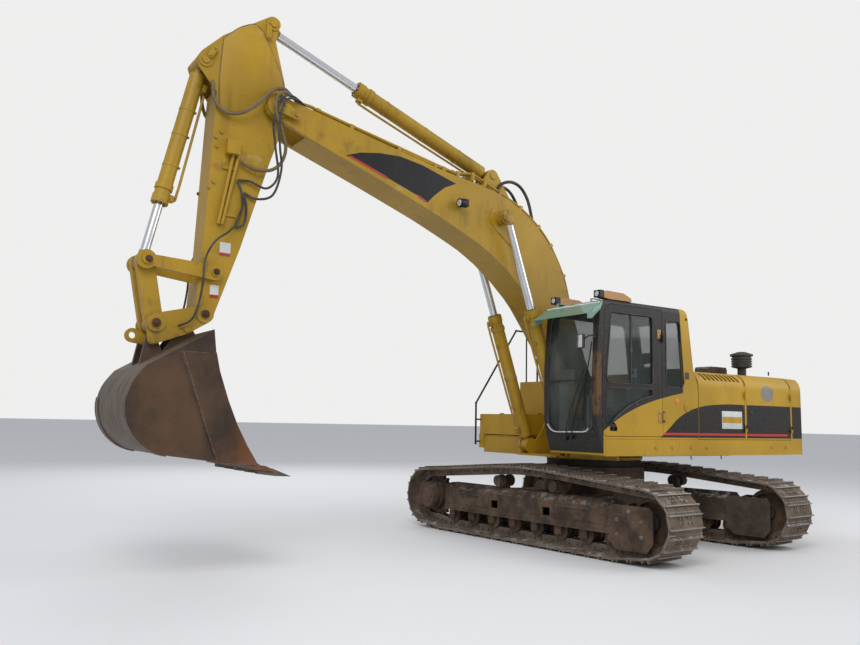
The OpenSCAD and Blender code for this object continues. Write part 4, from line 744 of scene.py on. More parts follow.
class EXCAVATOR_OT_stage(bpy.types.Operator):
    """Floor, sky, lamps and the camera at the photograph's viewing angle"""

    bl_idname = "excavator.stage"
    bl_label = "Stage"

    def execute(self, context):
        scene = context.scene
        scene.view_settings.view_transform = "Standard"
        form = bmesh.new()
        bmesh.ops.create_grid(form, x_segments=1, y_segments=1, size=FLOOR_HALF)
        mesh = bpy.data.meshes.new("floor")
        form.to_mesh(mesh)
        form.free()
        floor = bpy.data.objects.new("floor", mesh)
        floor.location.z = -FLOOR_GAP
        scene.collection.objects.link(floor)
        f = Finish("floor paint")
        colour = tuple(scene.excavator_colours.floor)
        mesh.materials.append(f.done(f.mix(f.noise(0.4, 3), shade(colour, 0.98), shade(colour, 1.02)), 0.9))

        world = bpy.data.worlds.new("sky")
        scene.world = world
        world.use_nodes = True
        tree = world.node_tree
        tree.nodes.clear()
        path = tree.nodes.new("ShaderNodeLightPath")
        light, seen = (tree.nodes.new("ShaderNodeBackground") for _ in range(2))
        light.inputs[0].default_value, light.inputs[1].default_value = SKY_COLOUR, SKY_POWER
        seen.inputs[0].default_value, seen.inputs[1].default_value = BACKDROP_COLOUR, BACKDROP_POWER
        most = tree.nodes.new("ShaderNodeMath")
        most.operation = "MAXIMUM"
        tree.links.new(path.outputs["Is Camera Ray"], most.inputs[0])
        tree.links.new(path.outputs["Is Transmission Ray"], most.inputs[1])
        blend = tree.nodes.new("ShaderNodeMixShader")
        tree.links.new(most.outputs[0], blend.inputs[0])
        tree.links.new(light.outputs[0], blend.inputs[1])
        tree.links.new(seen.outputs[0], blend.inputs[2])
        end = tree.nodes.new("ShaderNodeOutputWorld")
        tree.links.new(blend.outputs[0], end.inputs[0])

        for name, place, power, size in LAMPS:
            data = bpy.data.lights.new(name, "AREA")
            data.energy, data.size = power, size
            lamp = bpy.data.objects.new(name, data)
            lamp.location = place
            lamp.rotation_euler = (LAMP_AIM - lamp.location).to_track_quat("-Z", "Y").to_euler()
            scene.collection.objects.link(lamp)

        data = bpy.data.cameras.new("camera")
        data.sensor_width, data.lens = SENSOR, SENSOR * FOCAL_PIXELS / PICTURE_WIDTH
        data.clip_end = VIEW_END
        camera = bpy.data.objects.new("camera", data)
        ahead = Vector((math.cos(YAW) * math.cos(PITCH), math.sin(YAW) * math.cos(PITCH), math.sin(PITCH)))
        level = ahead.cross(Vector((0, 0, 1))).normalized()
        above = level.cross(ahead)
        right = level * math.cos(ROLL) + above * math.sin(ROLL)
        above = above * math.cos(ROLL) - level * math.sin(ROLL)
        facing = Matrix((right, above, -ahead)).transposed().to_4x4()
        camera.matrix_world = Matrix.Translation(at(*CAMERA_PLACE)) @ facing
        scene.collection.objects.link(camera)
        scene.camera = camera
        return {"FINISHED"}


class EXCAVATOR_OT_finishes(bpy.types.Operator):
    """Enamel, steel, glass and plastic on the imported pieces"""

    bl_idname = "excavator.finishes"
    bl_label = "Finishes"

    def execute(self, context):
        make_finishes(context.scene.excavator_colours)
        for finish, nodes in NODE_FINISH.items():
            for node in nodes.split():
                dress(node, finish)
        return {"FINISHED"}


class TrackLoop:
    """The line of the track's pins, with its sag and its taut runs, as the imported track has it."""

    wheelbase, gauge, shoes = 3.830, 2.390, 49
    low, turn, hub, flat_end, climb, arch_half = 0.090, 0.315, 0.453, 0.415, math.radians(4.6), 0.560

    def __init__(self):
        """Half the loop has five lengths: the flat foot, its ramp, the turn, the taut rise and the arch."""
        rise = self.hub - self.low
        self.flat = self.wheelbase / 2 - self.flat_end
        self.ramp = math.atan2(rise, self.flat_end) - math.asin(self.turn / math.hypot(self.flat_end, rise))
        ramp = math.sqrt(self.flat_end ** 2 + rise ** 2 - self.turn ** 2)
        reach = self.wheelbase / 2 + self.turn * math.sin(self.climb)
        self.arch_r = self.arch_half / math.sin(self.climb)
        rising = (reach - self.arch_half) / math.cos(self.climb)
        around = self.turn * (math.pi - self.ramp - self.climb)
        self.lengths = [self.flat, ramp, around, rising, self.arch_r * self.climb]
        self.half = sum(self.lengths)
        self.pitch = 2 * self.half / self.shoes
        self.climb_z = self.hub + self.turn * math.cos(self.climb)
        self.reach, self.rising = reach, rising
        self.top = self.climb_z + rising * math.sin(self.climb) + self.arch_r * (1 - math.cos(self.climb))

    def half_at(self, s):
        """Place and slope of the pins' line at distance s from the middle of the foot."""
        flat, ramp, turn, rising, arch = self.lengths
        if s <= flat:
            return s, self.low, 0.0
        s -= flat
        if s <= ramp:
            return self.flat + s * math.cos(self.ramp), self.low + s * math.sin(self.ramp), self.ramp
        s -= ramp
        if s <= turn:
            a = self.ramp + s / self.turn
            return self.wheelbase / 2 + self.turn * math.sin(a), self.hub - self.turn * math.cos(a), a
        s -= turn
        if s <= rising:
            x, z = self.reach - s * math.cos(self.climb), self.climb_z + s * math.sin(self.climb)
            return x, z, math.pi - self.climb
        a = (rising + arch - s) / self.arch_r
        return self.arch_r * math.sin(a), self.top - self.arch_r * (1 - math.cos(a)), math.pi - a

    def at(self, s, along, out, y):
        """A point of the shoe at distance s: along the loop and out from its pins, at that y."""
        if s <= self.half:
            x, z, a = self.half_at(s)
        else:
            x, z, a = self.half_at(2 * self.half - s)
            x, a = -x, math.tau - a
        place = (x + along * math.cos(a) + out * math.sin(a), y, z + along * math.sin(a) - out * math.cos(a))
        return under(*place), under(math.sin(a), 0, -math.cos(a)) - under(0, 0, 0)


# On each shoe, from its middle and out from its pins: its bolts, its plate and its grousers' rubbed edges
BOLTS_ALONG, BOLTS_ACROSS = (-0.022, 0.030), (-0.108, -0.052, 0.052, 0.108)
PLATE_OUT, GROUSER_OUT = 0.0635, 0.0801
GROUSER_HALF, SHOE_HALF, RUBBED = 0.0058, 0.298, 0.0102
GROUND_CLEAR = 0.03
# On each link: its two pins and the ends of their bores, where a near-black disc is painted shade in the bore
PIN_ALONG, PIN_ACROSS, PIN_END, HOLE_END, PIN_RADIUS = 0.036, 0.094, 0.099, 0.1005, 0.021


class EXCAVATOR_OT_track_fittings(bpy.types.Operator):
    """Shoe bolts, link pins and the polished grouser edges round both tracks"""

    bl_idname = "excavator.track_fittings"
    bl_label = "Track fittings"

    def execute(self, context):
        loop = TrackLoop()
        for name, side in (("left", 1), ("right", -1)):
            bolts, pins, bore_shades, edges = Form(), Form(), Form(), Form()
            for k in range(loop.shoes):
                s = (k + 0.5) * loop.pitch
                middle = side * loop.gauge / 2
                for along in BOLTS_ALONG:
                    for y in BOLTS_ACROSS:
                        place, out = loop.at(s, along, PLATE_OUT, middle + y)
                        bolts.round(place, place + out * 0.016, 0.0145, 0.013, sides=6)
                for along in (0.007 - 0.48 * loop.pitch, 0.30 * loop.pitch):
                    rim = [loop.at(s, along + a * GROUSER_HALF, GROUSER_OUT, middle + y * SHOE_HALF)[0]
                           for a, y in ((-1, -1), (1, -1), (1, 1), (-1, 1))]
                    if min(p.z for p in rim) > GROUND_CLEAR:
                        edges.plate(rim, loop.at(s, along, 0.0, middle)[1] * RUBBED)
                for way in (-1, 1):
                    for along in (-PIN_ALONG, PIN_ALONG):
                        foot, face, end = (loop.at(s, along, 0.0, middle + way * y)[0]
                                           for y in (PIN_ACROSS, PIN_END, HOLE_END))
                        pins.round(foot, face, PIN_RADIUS, sides=10)
                        # A near-black disc on each pin's end is painted shade standing in for its bore
                        bore_shades.round(face, end, PIN_RADIUS * 0.55, sides=8)
            bolts.done("shoe_bolts_" + name, "track", "undercarriage")
            edges.done("shoe_edges_" + name, "bare", "undercarriage")
            pins.done("link_pins_" + name, "teeth", "undercarriage")
            bore_shades.done("link_pin_bore_shades_" + name, "bearing", "undercarriage")
        return {"FINISHED"}


# Along the undercarriage: the drive's middle, its ring of bolts, and the bolts of the idler guards
DRIVE_X, DRIVE_BOLTS, DRIVE_BOLT_CIRCLE = -1.915, 14, 0.145
GUARD_BOLTS = ((1.52, 0.30), (1.52, 0.46), (1.86, 0.30), (1.86, 0.46), (1.69, 0.56))
BEARING_BOLTS, BEARING_BOLT_CIRCLE = 36, 0.605


class EXCAVATOR_OT_frame_fittings(bpy.types.Operator):
    """Bolts and caps of the drives, and bolts of the idler guards and the swing bearing"""

    bl_idname = "excavator.frame_fittings"
    bl_label = "Frame fittings"

    def execute(self, context):
        loop = TrackLoop()
        bolt = context.scene.excavator_sizes.bolt
        drives, caps, ring = Form(), Form(), Form()
        for side in (1, -1):
            face = side * (loop.gauge / 2 + 0.2355)
            out = under(0, side, 0) - under(0, 0, 0)
            for k in range(DRIVE_BOLTS):
                x, z = spoke(k, DRIVE_BOLTS, DRIVE_BOLT_CIRCLE)
                drives.bolt(under(DRIVE_X + x, face, loop.hub + z), out, bolt * 0.8)
            for radius in (0.062, 0.100):
                start = under(DRIVE_X, face - side * 0.003, loop.hub)
                drives.round(start, start + out * (0.023 - 0.1 * radius), radius, soft=0.003)
            for x, z in GUARD_BOLTS:
                caps.bolt(under(x, side * (loop.gauge / 2 + 0.1905), z), out, bolt)
        for k in range(BEARING_BOLTS):
            place = at(*spoke(k, BEARING_BOLTS, BEARING_BOLT_CIRCLE), BEARING[0].z + 0.002)
            ring.bolt(place, (0, 0, -1), bolt * 0.8, washer=False)
        drives.done("drive_bolts", "hub", "undercarriage")
        caps.done("guard_bolts", "track", "undercarriage")
        ring.done("bearing_bolts", "bearing", "undercarriage")
        return {"FINISHED"}


# Outlines and places on the arm, as (x, z) from the swing axis and the ground
DOUBLER = [(5.555, 5.521), (5.407, 5.678), (5.261, 5.769), (5.204, 5.776), (5.125, 5.723), (4.997, 5.489),
           (4.889, 5.267), (4.854, 5.141), (4.979, 5.090), (5.053, 5.015), (5.214, 4.824), (5.378, 4.749),
           (5.486, 4.732), (5.561, 4.770), (5.577, 5.088)]
PANEL = [(4.097, 4.511), (3.922, 4.577), (3.659, 4.625), (3.386, 4.640), (3.066, 4.595), (2.564, 4.453),
         (2.732, 4.375), (2.877, 4.254), (2.983, 4.143), (3.121, 4.206), (3.549, 4.349), (4.050, 4.500)]
PANEL_LINES = (((4.050, 4.509), (3.549, 4.345)), ((3.121, 4.203), (3.001, 4.150)))
KEEPERS = (((5.062, 5.829), (5.064, 5.673)), ((5.696, 5.286), (5.647, 5.374)))
STICK_BOLTS = ((5.527, 4.493), (5.585, 4.426), (5.571, 4.330), (5.585, 3.943), (5.634, 3.881))
NOSE_KEEPER = ((4.935, 4.893), (4.745, 4.814))
SIGNS = ((5.365, 5.480, 3.175, 3.320), (5.470, 5.560, 2.725, 2.860))
# How far those faces stand from the arm's middle plane
STICK_FACE, BOOM_FACE, STICK_BOSS, NOSE_BOSS = 0.1655, 0.2405, 0.1915, 0.2855


class EXCAVATOR_OT_arm_plates(bpy.types.Operator):
    """Doubler plates with their weld beads, pin keepers, black side panels and blank signs on the arm"""

    bl_idname = "excavator.arm_plates"
    bl_label = "Arm plates"

    def execute(self, context):
        bolt = context.scene.excavator_sizes.bolt
        plates, welds, panels, lines = Form(), Form(), Form(), Form()
        boom_bolts, keepers, signs, red = Form(), Form(), Form(), Form()
        for side in (1, -1):
            out = Vector((0, side, 0))
            plates.plate(in_plane(DOUBLER, side * (STICK_FACE - 0.001)), out * 0.009, 0.002)
            edge = smooth_route(in_plane(DOUBLER + DOUBLER[:1], side * (STICK_FACE + 0.001)), 4)
            welds.tube(edge[:-1], 0.0075, 6, closed=True)
            panels.plate(in_plane(PANEL, side * (BOOM_FACE - 0.001)), out * 0.0025)
            for line in PANEL_LINES:
                a, b = in_plane(line, side * (BOOM_FACE + 0.001))
                half = Vector((0, 0, 0.014))
                lines.plate([a - half, b - half, b + half, a + half], out * 0.0012)
            for keeper in KEEPERS:
                ends = in_plane(keeper, side * STICK_BOSS)
                keepers.strap(*ends, 0.028, 0.028, out * 0.012)
                for end in ends:
                    keepers.bolt(end + out * 0.012, out, bolt * 0.8)
            for place in in_plane(STICK_BOLTS, side * STICK_FACE):
                keepers.bolt(place, out, bolt)
            nose = in_plane(NOSE_KEEPER, side * NOSE_BOSS)
            boom_bolts.strap(*nose, 0.085, 0.045, out * 0.014)
            boom_bolts.bolt(nose[1] + out * 0.014, out, bolt)
            for k in range(6):
                x, z = spoke(k, 6, 0.055)
                boom_bolts.bolt(nose[0] + Vector((x, 0, z)) + out * 0.014, out, bolt * 0.7)
            face = side * STICK_FACE
            for x0, x1, z0, z1 in SIGNS:
                signs.block(at(x0, face - 0.001, z0), at(x1, face + 0.001, z1))
                red.block(at(x0, face - 0.0016, z0), at(x1, face + 0.0016, z0 + 0.035))
        plates.done("stick_doublers", "arm", "stick")
        # The weld beads take the dark muddy hose finish as a painted shade line along the doubler plates'
        # edges
        welds.done("stick_welds", "muddy", "stick")
        keepers.done("stick_keepers", "arm", "stick")
        signs.done("stick_signs", "white", "stick")
        red.done("stick_sign_bands", "red", "stick")
        panels.done("boom_panels", "black", "boom")
        lines.done("boom_panel_lines", "red", "boom")
        boom_bolts.done("boom_keepers", "arm", "boom")
        return {"FINISHED"}


RAMS = (  # name, foot, rod eye, y places, barrel radius and length, rod radius, body of the barrel
    ("boom", (0.860, 1.225), (1.870, 4.120), (0.385, -0.385), 0.085, 1.830, 0.050, "boom_cylinder_barrels"),
    ("stick", (1.890, 4.710), (5.005, 5.850), (0.0,), 0.090, 2.110, 0.052, "stick_cylinder_barrel"),
    ("bucket", (5.735, 5.240), (6.215, 3.040), (0.0,), 0.080, 1.610, 0.047, "bucket_cylinder_barrel"),
)
# Bolts round each gland, and the oil ports' distances from the barrel's two ends
GLAND_BOLTS, HEAD_PORT, FOOT_PORT = 10, 0.085, 0.24


class EXCAVATOR_OT_ram_fittings(bpy.types.Operator):
    """Gland bolts, wiper rings, port blocks, pipes and strap clamps on the cylinders"""

    bl_idname = "excavator.ram_fittings"
    bl_label = "Ram fittings"

    def execute(self, context):
        bolt = context.scene.excavator_sizes.bolt
        for name, foot, eye, places, radius, length, rod, body in RAMS:
            metal, rings, clamps = Form(), Form(), Form()
            for y in places:
                start, end = in_plane([foot, eye], y)
                along = (end - start).normalized()
                out = -along.cross(ACROSS).normalized()
                gland = start + along * length
                for k in range(GLAND_BOLTS):
                    inward, aside = spoke(k, GLAND_BOLTS, radius - 0.010)
                    metal.bolt(gland + ACROSS * aside - out * inward, along, bolt * 0.72, washer=False)
                rings.round(gland, gland + along * 0.014, rod + 0.010, rod + 0.006, 28)
                for distance in (FOOT_PORT, length - HEAD_PORT):
                    centre = start + along * distance + out * (radius + 0.018)
                    box = Matrix.Translation(centre) @ Matrix((along, ACROSS, out)).transposed().to_4x4()
                    metal.block((-0.036, -0.032, -0.022), (0.036, 0.032, 0.024), 0.005, box)
                    for a, b in ((-0.022, -0.019), (0.022, -0.019), (-0.022, 0.019), (0.022, 0.019)):
                        place = centre + along * a + ACROSS * b + out * 0.024
                        metal.bolt(place, out, bolt * 0.5, washer=False)
                top = start + along * (length - HEAD_PORT) + out * (radius + 0.058)
                low = start + along * 0.32 + out * (radius + 0.040)
                bend = start + along * (length - 0.18) + out * (radius + 0.060)
                metal.tube(smooth_route([top - out * 0.03, top, bend, bend - along * 0.15, low], 8), 0.014)
                inner, outer, half = radius - 0.001, radius + 0.0035, 0.016
                for distance in (0.55, length * 0.52, length - 0.42):
                    ring = start + along * distance
                    clamps.lathe([(inner, -half), (outer, -half), (outer, half), (inner, half)], ring, along)
                    clamps.bolt(ring + out * (radius + 0.002) + ACROSS * 0.03, out, bolt * 0.7)
            metal.done(name + "_ram_ports", "arm", body)
            rings.done(name + "_ram_wipers", "rubber", body)
            clamps.done(name + "_ram_clamps", "arm", body)
        return {"FINISHED"}


# The steel lines along the boom's back, as (x, z)
PIPES = [(3.361, 4.732), (2.856, 4.642), (2.518, 4.612), (2.286, 4.636), (2.086, 4.570), (1.841, 4.475),
         (1.500, 4.330), (1.190, 4.120), (0.975, 3.895), (0.745, 3.505), (0.628, 3.140)]
# At the boom's nose each line runs (x, z, share of the way aside), past the stick's cheek
NOSE_PIPES = ((4.440, 4.968, 0.0), (4.500, 4.984, 0.96), (4.600, 4.994, 1.0), (4.690, 4.992, 1.0))
# Where the lines lie on the back and end at the nose, from the middle plane
PIPE_PLACES = ((0.135, 0.216), (0.195, 0.20865))
PIPE_RADIUS, UNION_RADIUS = 0.0165, 0.026
FREE_HOSES = (  # name on the cab side, its twin's or none, radius, finish, bodies, points on the cab side
    ("hose_bucket_feed", "hose_bucket_return", 0.019, "muddy", ("boom", "stick"),
     ((4.690, 0.209, 4.992), (4.790, 0.235, 5.050), (4.900, 0.285, 5.085), (5.010, 0.292, 5.045),
      (5.110, 0.285, 4.940), (5.230, 0.262, 4.806), (5.350, 0.238, 4.722), (5.480, 0.215, 4.700),
      (5.585, 0.198, 4.755), (5.640, 0.188, 4.870), (5.655, 0.188, 5.020))),
    ("hose_stick_loop", None, 0.019, "muddy", ("boom", "stick"),
     ((4.690, 0.216, 4.992), (4.790, 0.245, 5.040), (4.900, 0.290, 5.045), (4.985, 0.312, 4.960),
      (4.990, 0.315, 4.800), (4.910, 0.300, 4.610), (4.850, 0.285, 4.430), (4.880, 0.262, 4.270),
      (4.985, 0.245, 4.165), (5.140, 0.225, 4.140), (5.240, 0.214, 4.165), (5.314, 0.208, 4.200))),
    ("hose_coupler_feed", None, 0.013, "rubber", ("boom", "stick"),
     ((4.640, 0.228, 4.985), (4.790, 0.275, 5.030), (4.930, 0.310, 4.960), (5.010, 0.310, 4.700),
      (4.966, 0.280, 4.417), (4.913, 0.250, 4.110), (5.020, 0.220, 3.960), (5.200, 0.195, 4.010),
      (5.330, 0.185, 4.000))),
    ("hose_coupler_return", None, 0.013, "rubber", ("boom", "stick"),
     ((4.625, 0.228, 4.980), (4.760, 0.290, 5.000), (4.900, 0.325, 4.930), (4.950, 0.325, 4.640),
      (4.920, 0.300, 4.400), (4.880, 0.262, 4.180), (4.950, 0.230, 3.900), (5.120, 0.200, 3.830),
      (5.260, 0.182, 3.880))),
    ("hose_stick_side_0", None, 0.013, "rubber", ("stick",),
     ((5.330, 0.182, 3.990), (5.290, 0.200, 3.880), (5.270, 0.198, 3.740), (5.300, 0.198, 3.620),
      (5.330, 0.182, 3.530))),
    ("hose_stick_side_1", None, 0.013, "rubber", ("stick",),
     ((5.262, 0.182, 3.870), (5.235, 0.200, 3.760), (5.230, 0.198, 3.640), (5.255, 0.198, 3.530),
      (5.325, 0.182, 3.490))),
    ("hose_stick_ram_0", "hose_stick_ram_1", 0.021, "rubber", ("boom",),
     ((1.860, 0.120, 4.480), (1.760, 0.120, 4.620), (1.600, 0.120, 4.680), (1.440, 0.120, 4.640),
      (1.320, 0.120, 4.500), (1.250, 0.120, 4.300), (1.214, 0.120, 4.098))),
    ("hose_bucket_link_1", "hose_bucket_link_0", 0.011, "rubber", ("stick", "bucket"),
     ((5.330, 0.185, 3.520), (5.420, 0.235, 3.420), (5.560, 0.262, 3.300), (5.655, 0.268, 3.100),
      (5.665, 0.266, 2.860), (5.700, 0.262, 2.620), (5.760, 0.255, 2.470), (5.880, 0.240, 2.400))),
)


class EXCAVATOR_OT_hoses(bpy.types.Operator):
    """Steel lines along the boom and the free hoses from boom to stick and stick to bucket"""

    bl_idname = "excavator.hoses"
    bl_label = "Hoses"

    def execute(self, context):
        for name, twin, radius, finish, bodies, points in FREE_HOSES:
            hose(name, [at(*p) for p in points], radius, finish, bodies)
            if twin:
                hose(twin, [at(x, -y, z) for x, y, z in points], radius, finish, bodies)
        pipes = [(side * y, side * aside) for side in (1, -1) for y, aside in PIPE_PLACES]
        for number, (y, aside) in enumerate(pipes):
            along_back, form = smooth_route(in_plane(PIPES, y), 6), Form()
            form.tube(along_back, PIPE_RADIUS, 12)
            foot = along_back[-1]
            form.round(foot - Vector((0, 0, 0.035)), foot + Vector((0, 0, 0.03)), UNION_RADIUS, sides=6)
            form.done("boom_pipe_%d" % number, "arm", "boom")
            ahead = smooth_route([at(x, aside * share if share else y, z) for x, z, share in NOSE_PIPES], 6)
            end, form = ahead[-1], Form()
            form.tube(ahead, PIPE_RADIUS, 12)
            form.round(end - Vector((0.030, 0, 0)), end + Vector((0.030, 0, 0.002)), UNION_RADIUS, sides=6)
            form.done("nose_pipe_%d" % number, "arm", "boom")
        clamps = Form()
        for before, here, after in zip(PIPES, PIPES[1:], PIPES[2:]):
            start, centre, end = in_plane([before, here, after], 0)
            along = (end - start).normalized()
            turned = Matrix((along, ACROSS, along.cross(ACROSS))).transposed().to_4x4()
            place = Matrix.Translation(centre) @ turned
            clamps.block((-0.022, -0.228, -0.020), (0.022, 0.228, 0.100), 0.005, place)
        clamps.done("boom_pipe_clamps", "arm", "boom")
        return {"FINISHED"}


class EXCAVATOR_OT_boom_lamp(bpy.types.Operator):
    """Round working lamp on the side of the boom"""

    bl_idname = "excavator.boom_lamp"
    bl_label = "Boom lamp"

    def execute(self, context):
        case, lens = Form(), Form()
        case.block(at(2.448, 0.284, 4.150), at(2.546, 0.372, 4.246), 0.012)
        case.round(at(2.500, 0.325, 4.198), at(2.575, 0.330, 4.190), 0.052, 0.056, 28, 0.004)
        lens.round(at(2.574, 0.330, 4.190), at(2.580, 0.330, 4.190), 0.045, 0.038, 28, 0.002)
        case.done("boom_lamp_case", "black", "boom")
        lens.done("boom_lamp_lens", "lens", "boom")
        return {"FINISHED"}


# The weld along the bucket's side
SIDE_SEAM, SIDE_SEAM_Y = ((5.945, 2.130), (5.860, 1.900), (5.740, 1.560), (5.588, 1.148)), 0.6835
PIN_ENDS = (  # x, z, how far from the middle plane, radius and whether it is one of the bucket's
    (6.199, 3.039, 0.2465, 0.038, False),
    (5.522, 2.989, 0.2465, 0.034, False),
    (6.090, 2.420, 0.2395, 0.046, True),
    (5.612, 2.545, 0.2395, 0.044, True),
)


class EXCAVATOR_OT_bucket_fittings(bpy.types.Operator):
    """Pin ends of the bucket and its links, and weld seams on the bucket's sides"""

    bl_idname = "excavator.bucket_fittings"
    bl_label = "Bucket fittings"

    def execute(self, context):
        seams, bucket_pins, link_pins = Form(), Form(), Form()
        for side in (1, -1):
            seams.tube(smooth_route(in_plane(SIDE_SEAM, side * SIDE_SEAM_Y), 6), 0.006, 6)
            for x, z, y, radius, on_bucket in PIN_ENDS:
                form = bucket_pins if on_bucket else link_pins
                form.cap(at(x, side * (y - 0.004), z), side * 0.010, radius, radius * 0.92, 28, 0.002)
                form.cap(at(x, side * (y + 0.005), z), side * 0.011, radius * 0.42, sides=16, soft=0.002)
        bucket_pins.done("coupler_pin_ends", "pin", "bucket")
        link_pins.done("link_pin_caps", "pin", "side_links")
        seams.done("bucket_welds", "bucket", "bucket")
        return {"FINISHED"}


# Outlines of the windows, as (x, z) from the swing axis and the ground
DOOR_WINDOW = [(0.415, 2.010), (0.385, 2.045), (0.385, 2.830), (0.415, 2.860), (1.060, 2.860), (1.105, 2.820),
               (1.185, 2.080), (1.150, 2.010)]
LOW_WINDOW = [(0.400, 1.955), (0.400, 1.880), (0.620, 1.825), (0.800, 1.750), (0.960, 1.655), (1.080, 1.565),
              (1.150, 1.500), (1.190, 1.560), (1.180, 1.930), (1.155, 1.955)]
REAR_QUARTER = [(-0.135, 1.990), (-0.185, 2.060), (-0.120, 2.800), (-0.095, 2.835), (0.115, 2.835),
                (0.145, 2.800), (0.145, 2.040), (0.115, 2.000)]
RIGHT_WINDOW = [(-0.180, 1.860), (-0.200, 1.980), (-0.110, 2.800), (-0.060, 2.860), (1.080, 2.880),
                (1.130, 2.830), (1.205, 2.200), (1.220, 1.700), (1.180, 1.640), (0.300, 1.640)]
# Heights on the windscreen and how far forward it stands there
FRONT_PROFILE = ((1.400, 1.310), (1.560, 1.340), (2.200, 1.340), (2.885, 1.285))
# The windscreen's corners as (y, z, first angle), and their radius
SCREEN_CORNERS = ((0.712, 1.560, 180), (1.213, 1.560, 270), (1.213, 2.735, 0), (0.712, 2.735, 90))
CORNER_RADIUS = 0.13
# Places on the windscreen and on the cab's front, as (y, z)
SCREEN_SEAL = ((0.563, 1.514), (0.610, 1.452), (0.702, 1.421), (0.950, 1.424), (1.204, 1.431), (1.267, 1.469))
WIPER_ARMS = ((0.876, 1.345, 1.228, 2.157), (0.980, 1.360, 1.291, 2.154))
WIPER_BLADE = ((1.162, 1.478), (1.252, 2.0), (1.335, 2.493))
# The door's hinges from foot to top, and the line of their pins
HINGES, HINGE_X = ((1.548, 1.703), (2.595, 2.706)), 0.212
SCREEN_BOLTS = ((0.528, 1.430), (0.610, 1.425), (1.256, 1.426), (1.330, 1.430))
ROOF_LAMP_Y, ROOF_LAMP_Z = (0.579, 1.346), 3.070
MIRROR_PLACE, MIRROR_TURN = (1.392, 1.218, 2.500), math.radians(-14)
MIRROR_ARM = ((1.300, 1.380, 2.530), (1.345, 1.372, 2.560), (1.378, 1.320, 2.555), (1.385, 1.262, 2.520))
# The visor's end plates as (x, z), and where they stand with their thickness
VISOR_END = ((1.262, 2.968), (1.515, 2.798), (1.512, 2.742), (1.440, 2.748), (1.300, 2.872))
VISOR_ENDS = ((0.506, -0.006), (1.445, 0.006))
# Radius of a window's rubber, and the plane just proud of the cab's side
RUBBER_RADIUS, ON_CAB = 0.009, CAB_SIDE + 0.0005


def front_x(z):
    """How far forward the windscreen stands at that height."""
    for (z0, x0), (z1, x1) in zip(FRONT_PROFILE, FRONT_PROFILE[1:]):
        if z <= z1:
            return x0 + (x1 - x0) * (z - z0) / (z1 - z0)
    return FRONT_PROFILE[-1][1]


def on_screen(y, z, proud):
    """A place that far in front of the windscreen."""
    return at(front_x(z) + proud, y, z)


class EXCAVATOR_OT_window_trim(bpy.types.Operator):
    """Window rubbers, the windscreen's seal and its wipers"""

    bl_idname = "excavator.window_trim"
    bl_label = "Window trim"

    def execute(self, context):
        rubber, door_rubber, pale, wiper = Form(), Form(), Form(), Form()
        for outline in (DOOR_WINDOW, LOW_WINDOW):
            door_rubber.tube(in_plane(outline, ON_CAB), RUBBER_RADIUS, 6, closed=True)
        rubber.tube(in_plane(REAR_QUARTER, ON_CAB), RUBBER_RADIUS, 6, closed=True)
        rubber.tube(in_plane(RIGHT_WINDOW, CAB_INNER_SIDE), RUBBER_RADIUS, 6, closed=True)
        ring = []
        for y, z, first in SCREEN_CORNERS:
            for turn in range(first, first + 91, 15):
                angle = math.radians(turn)
                place = y + CORNER_RADIUS * math.cos(angle), z + CORNER_RADIUS * math.sin(angle)
                ring.append(on_screen(*place, 0.003))
        rubber.tube(ring, 0.011, 6, closed=True)
        pale.tube(smooth_route([on_screen(y, z, 0.010) for y, z in SCREEN_SEAL], 6), 0.008, 6)
        rubber.done("window_rubbers", "rubber", "upper")
        door_rubber.done("door_window_rubbers", "rubber", "cab_door")
        pale.done("screen_seal", "white", "upper")

        for y, z, top_y, top_z in WIPER_ARMS:
            wiper.round(on_screen(y, z, -0.002), on_screen(y, z, 0.034), 0.024, 0.020, 20, 0.003)
            elbow = at(front_x(1.7) + 0.038, (2 * y + top_y) / 3, 1.62)
            arm = [on_screen(y, z, 0.030), elbow, on_screen(top_y, top_z, 0.028)]
            wiper.tube(smooth_route(arm, 8), 0.007, 8)
        wiper.tube(smooth_route([on_screen(y, z, 0.014) for y, z in WIPER_BLADE], 8), 0.008, 6)
        wiper.round(on_screen(1.210, 2.157, 0.024), on_screen(1.300, 2.154, 0.024), 0.009, sides=12)
        wiper.done("wipers", "black", "upper")
        return {"FINISHED"}


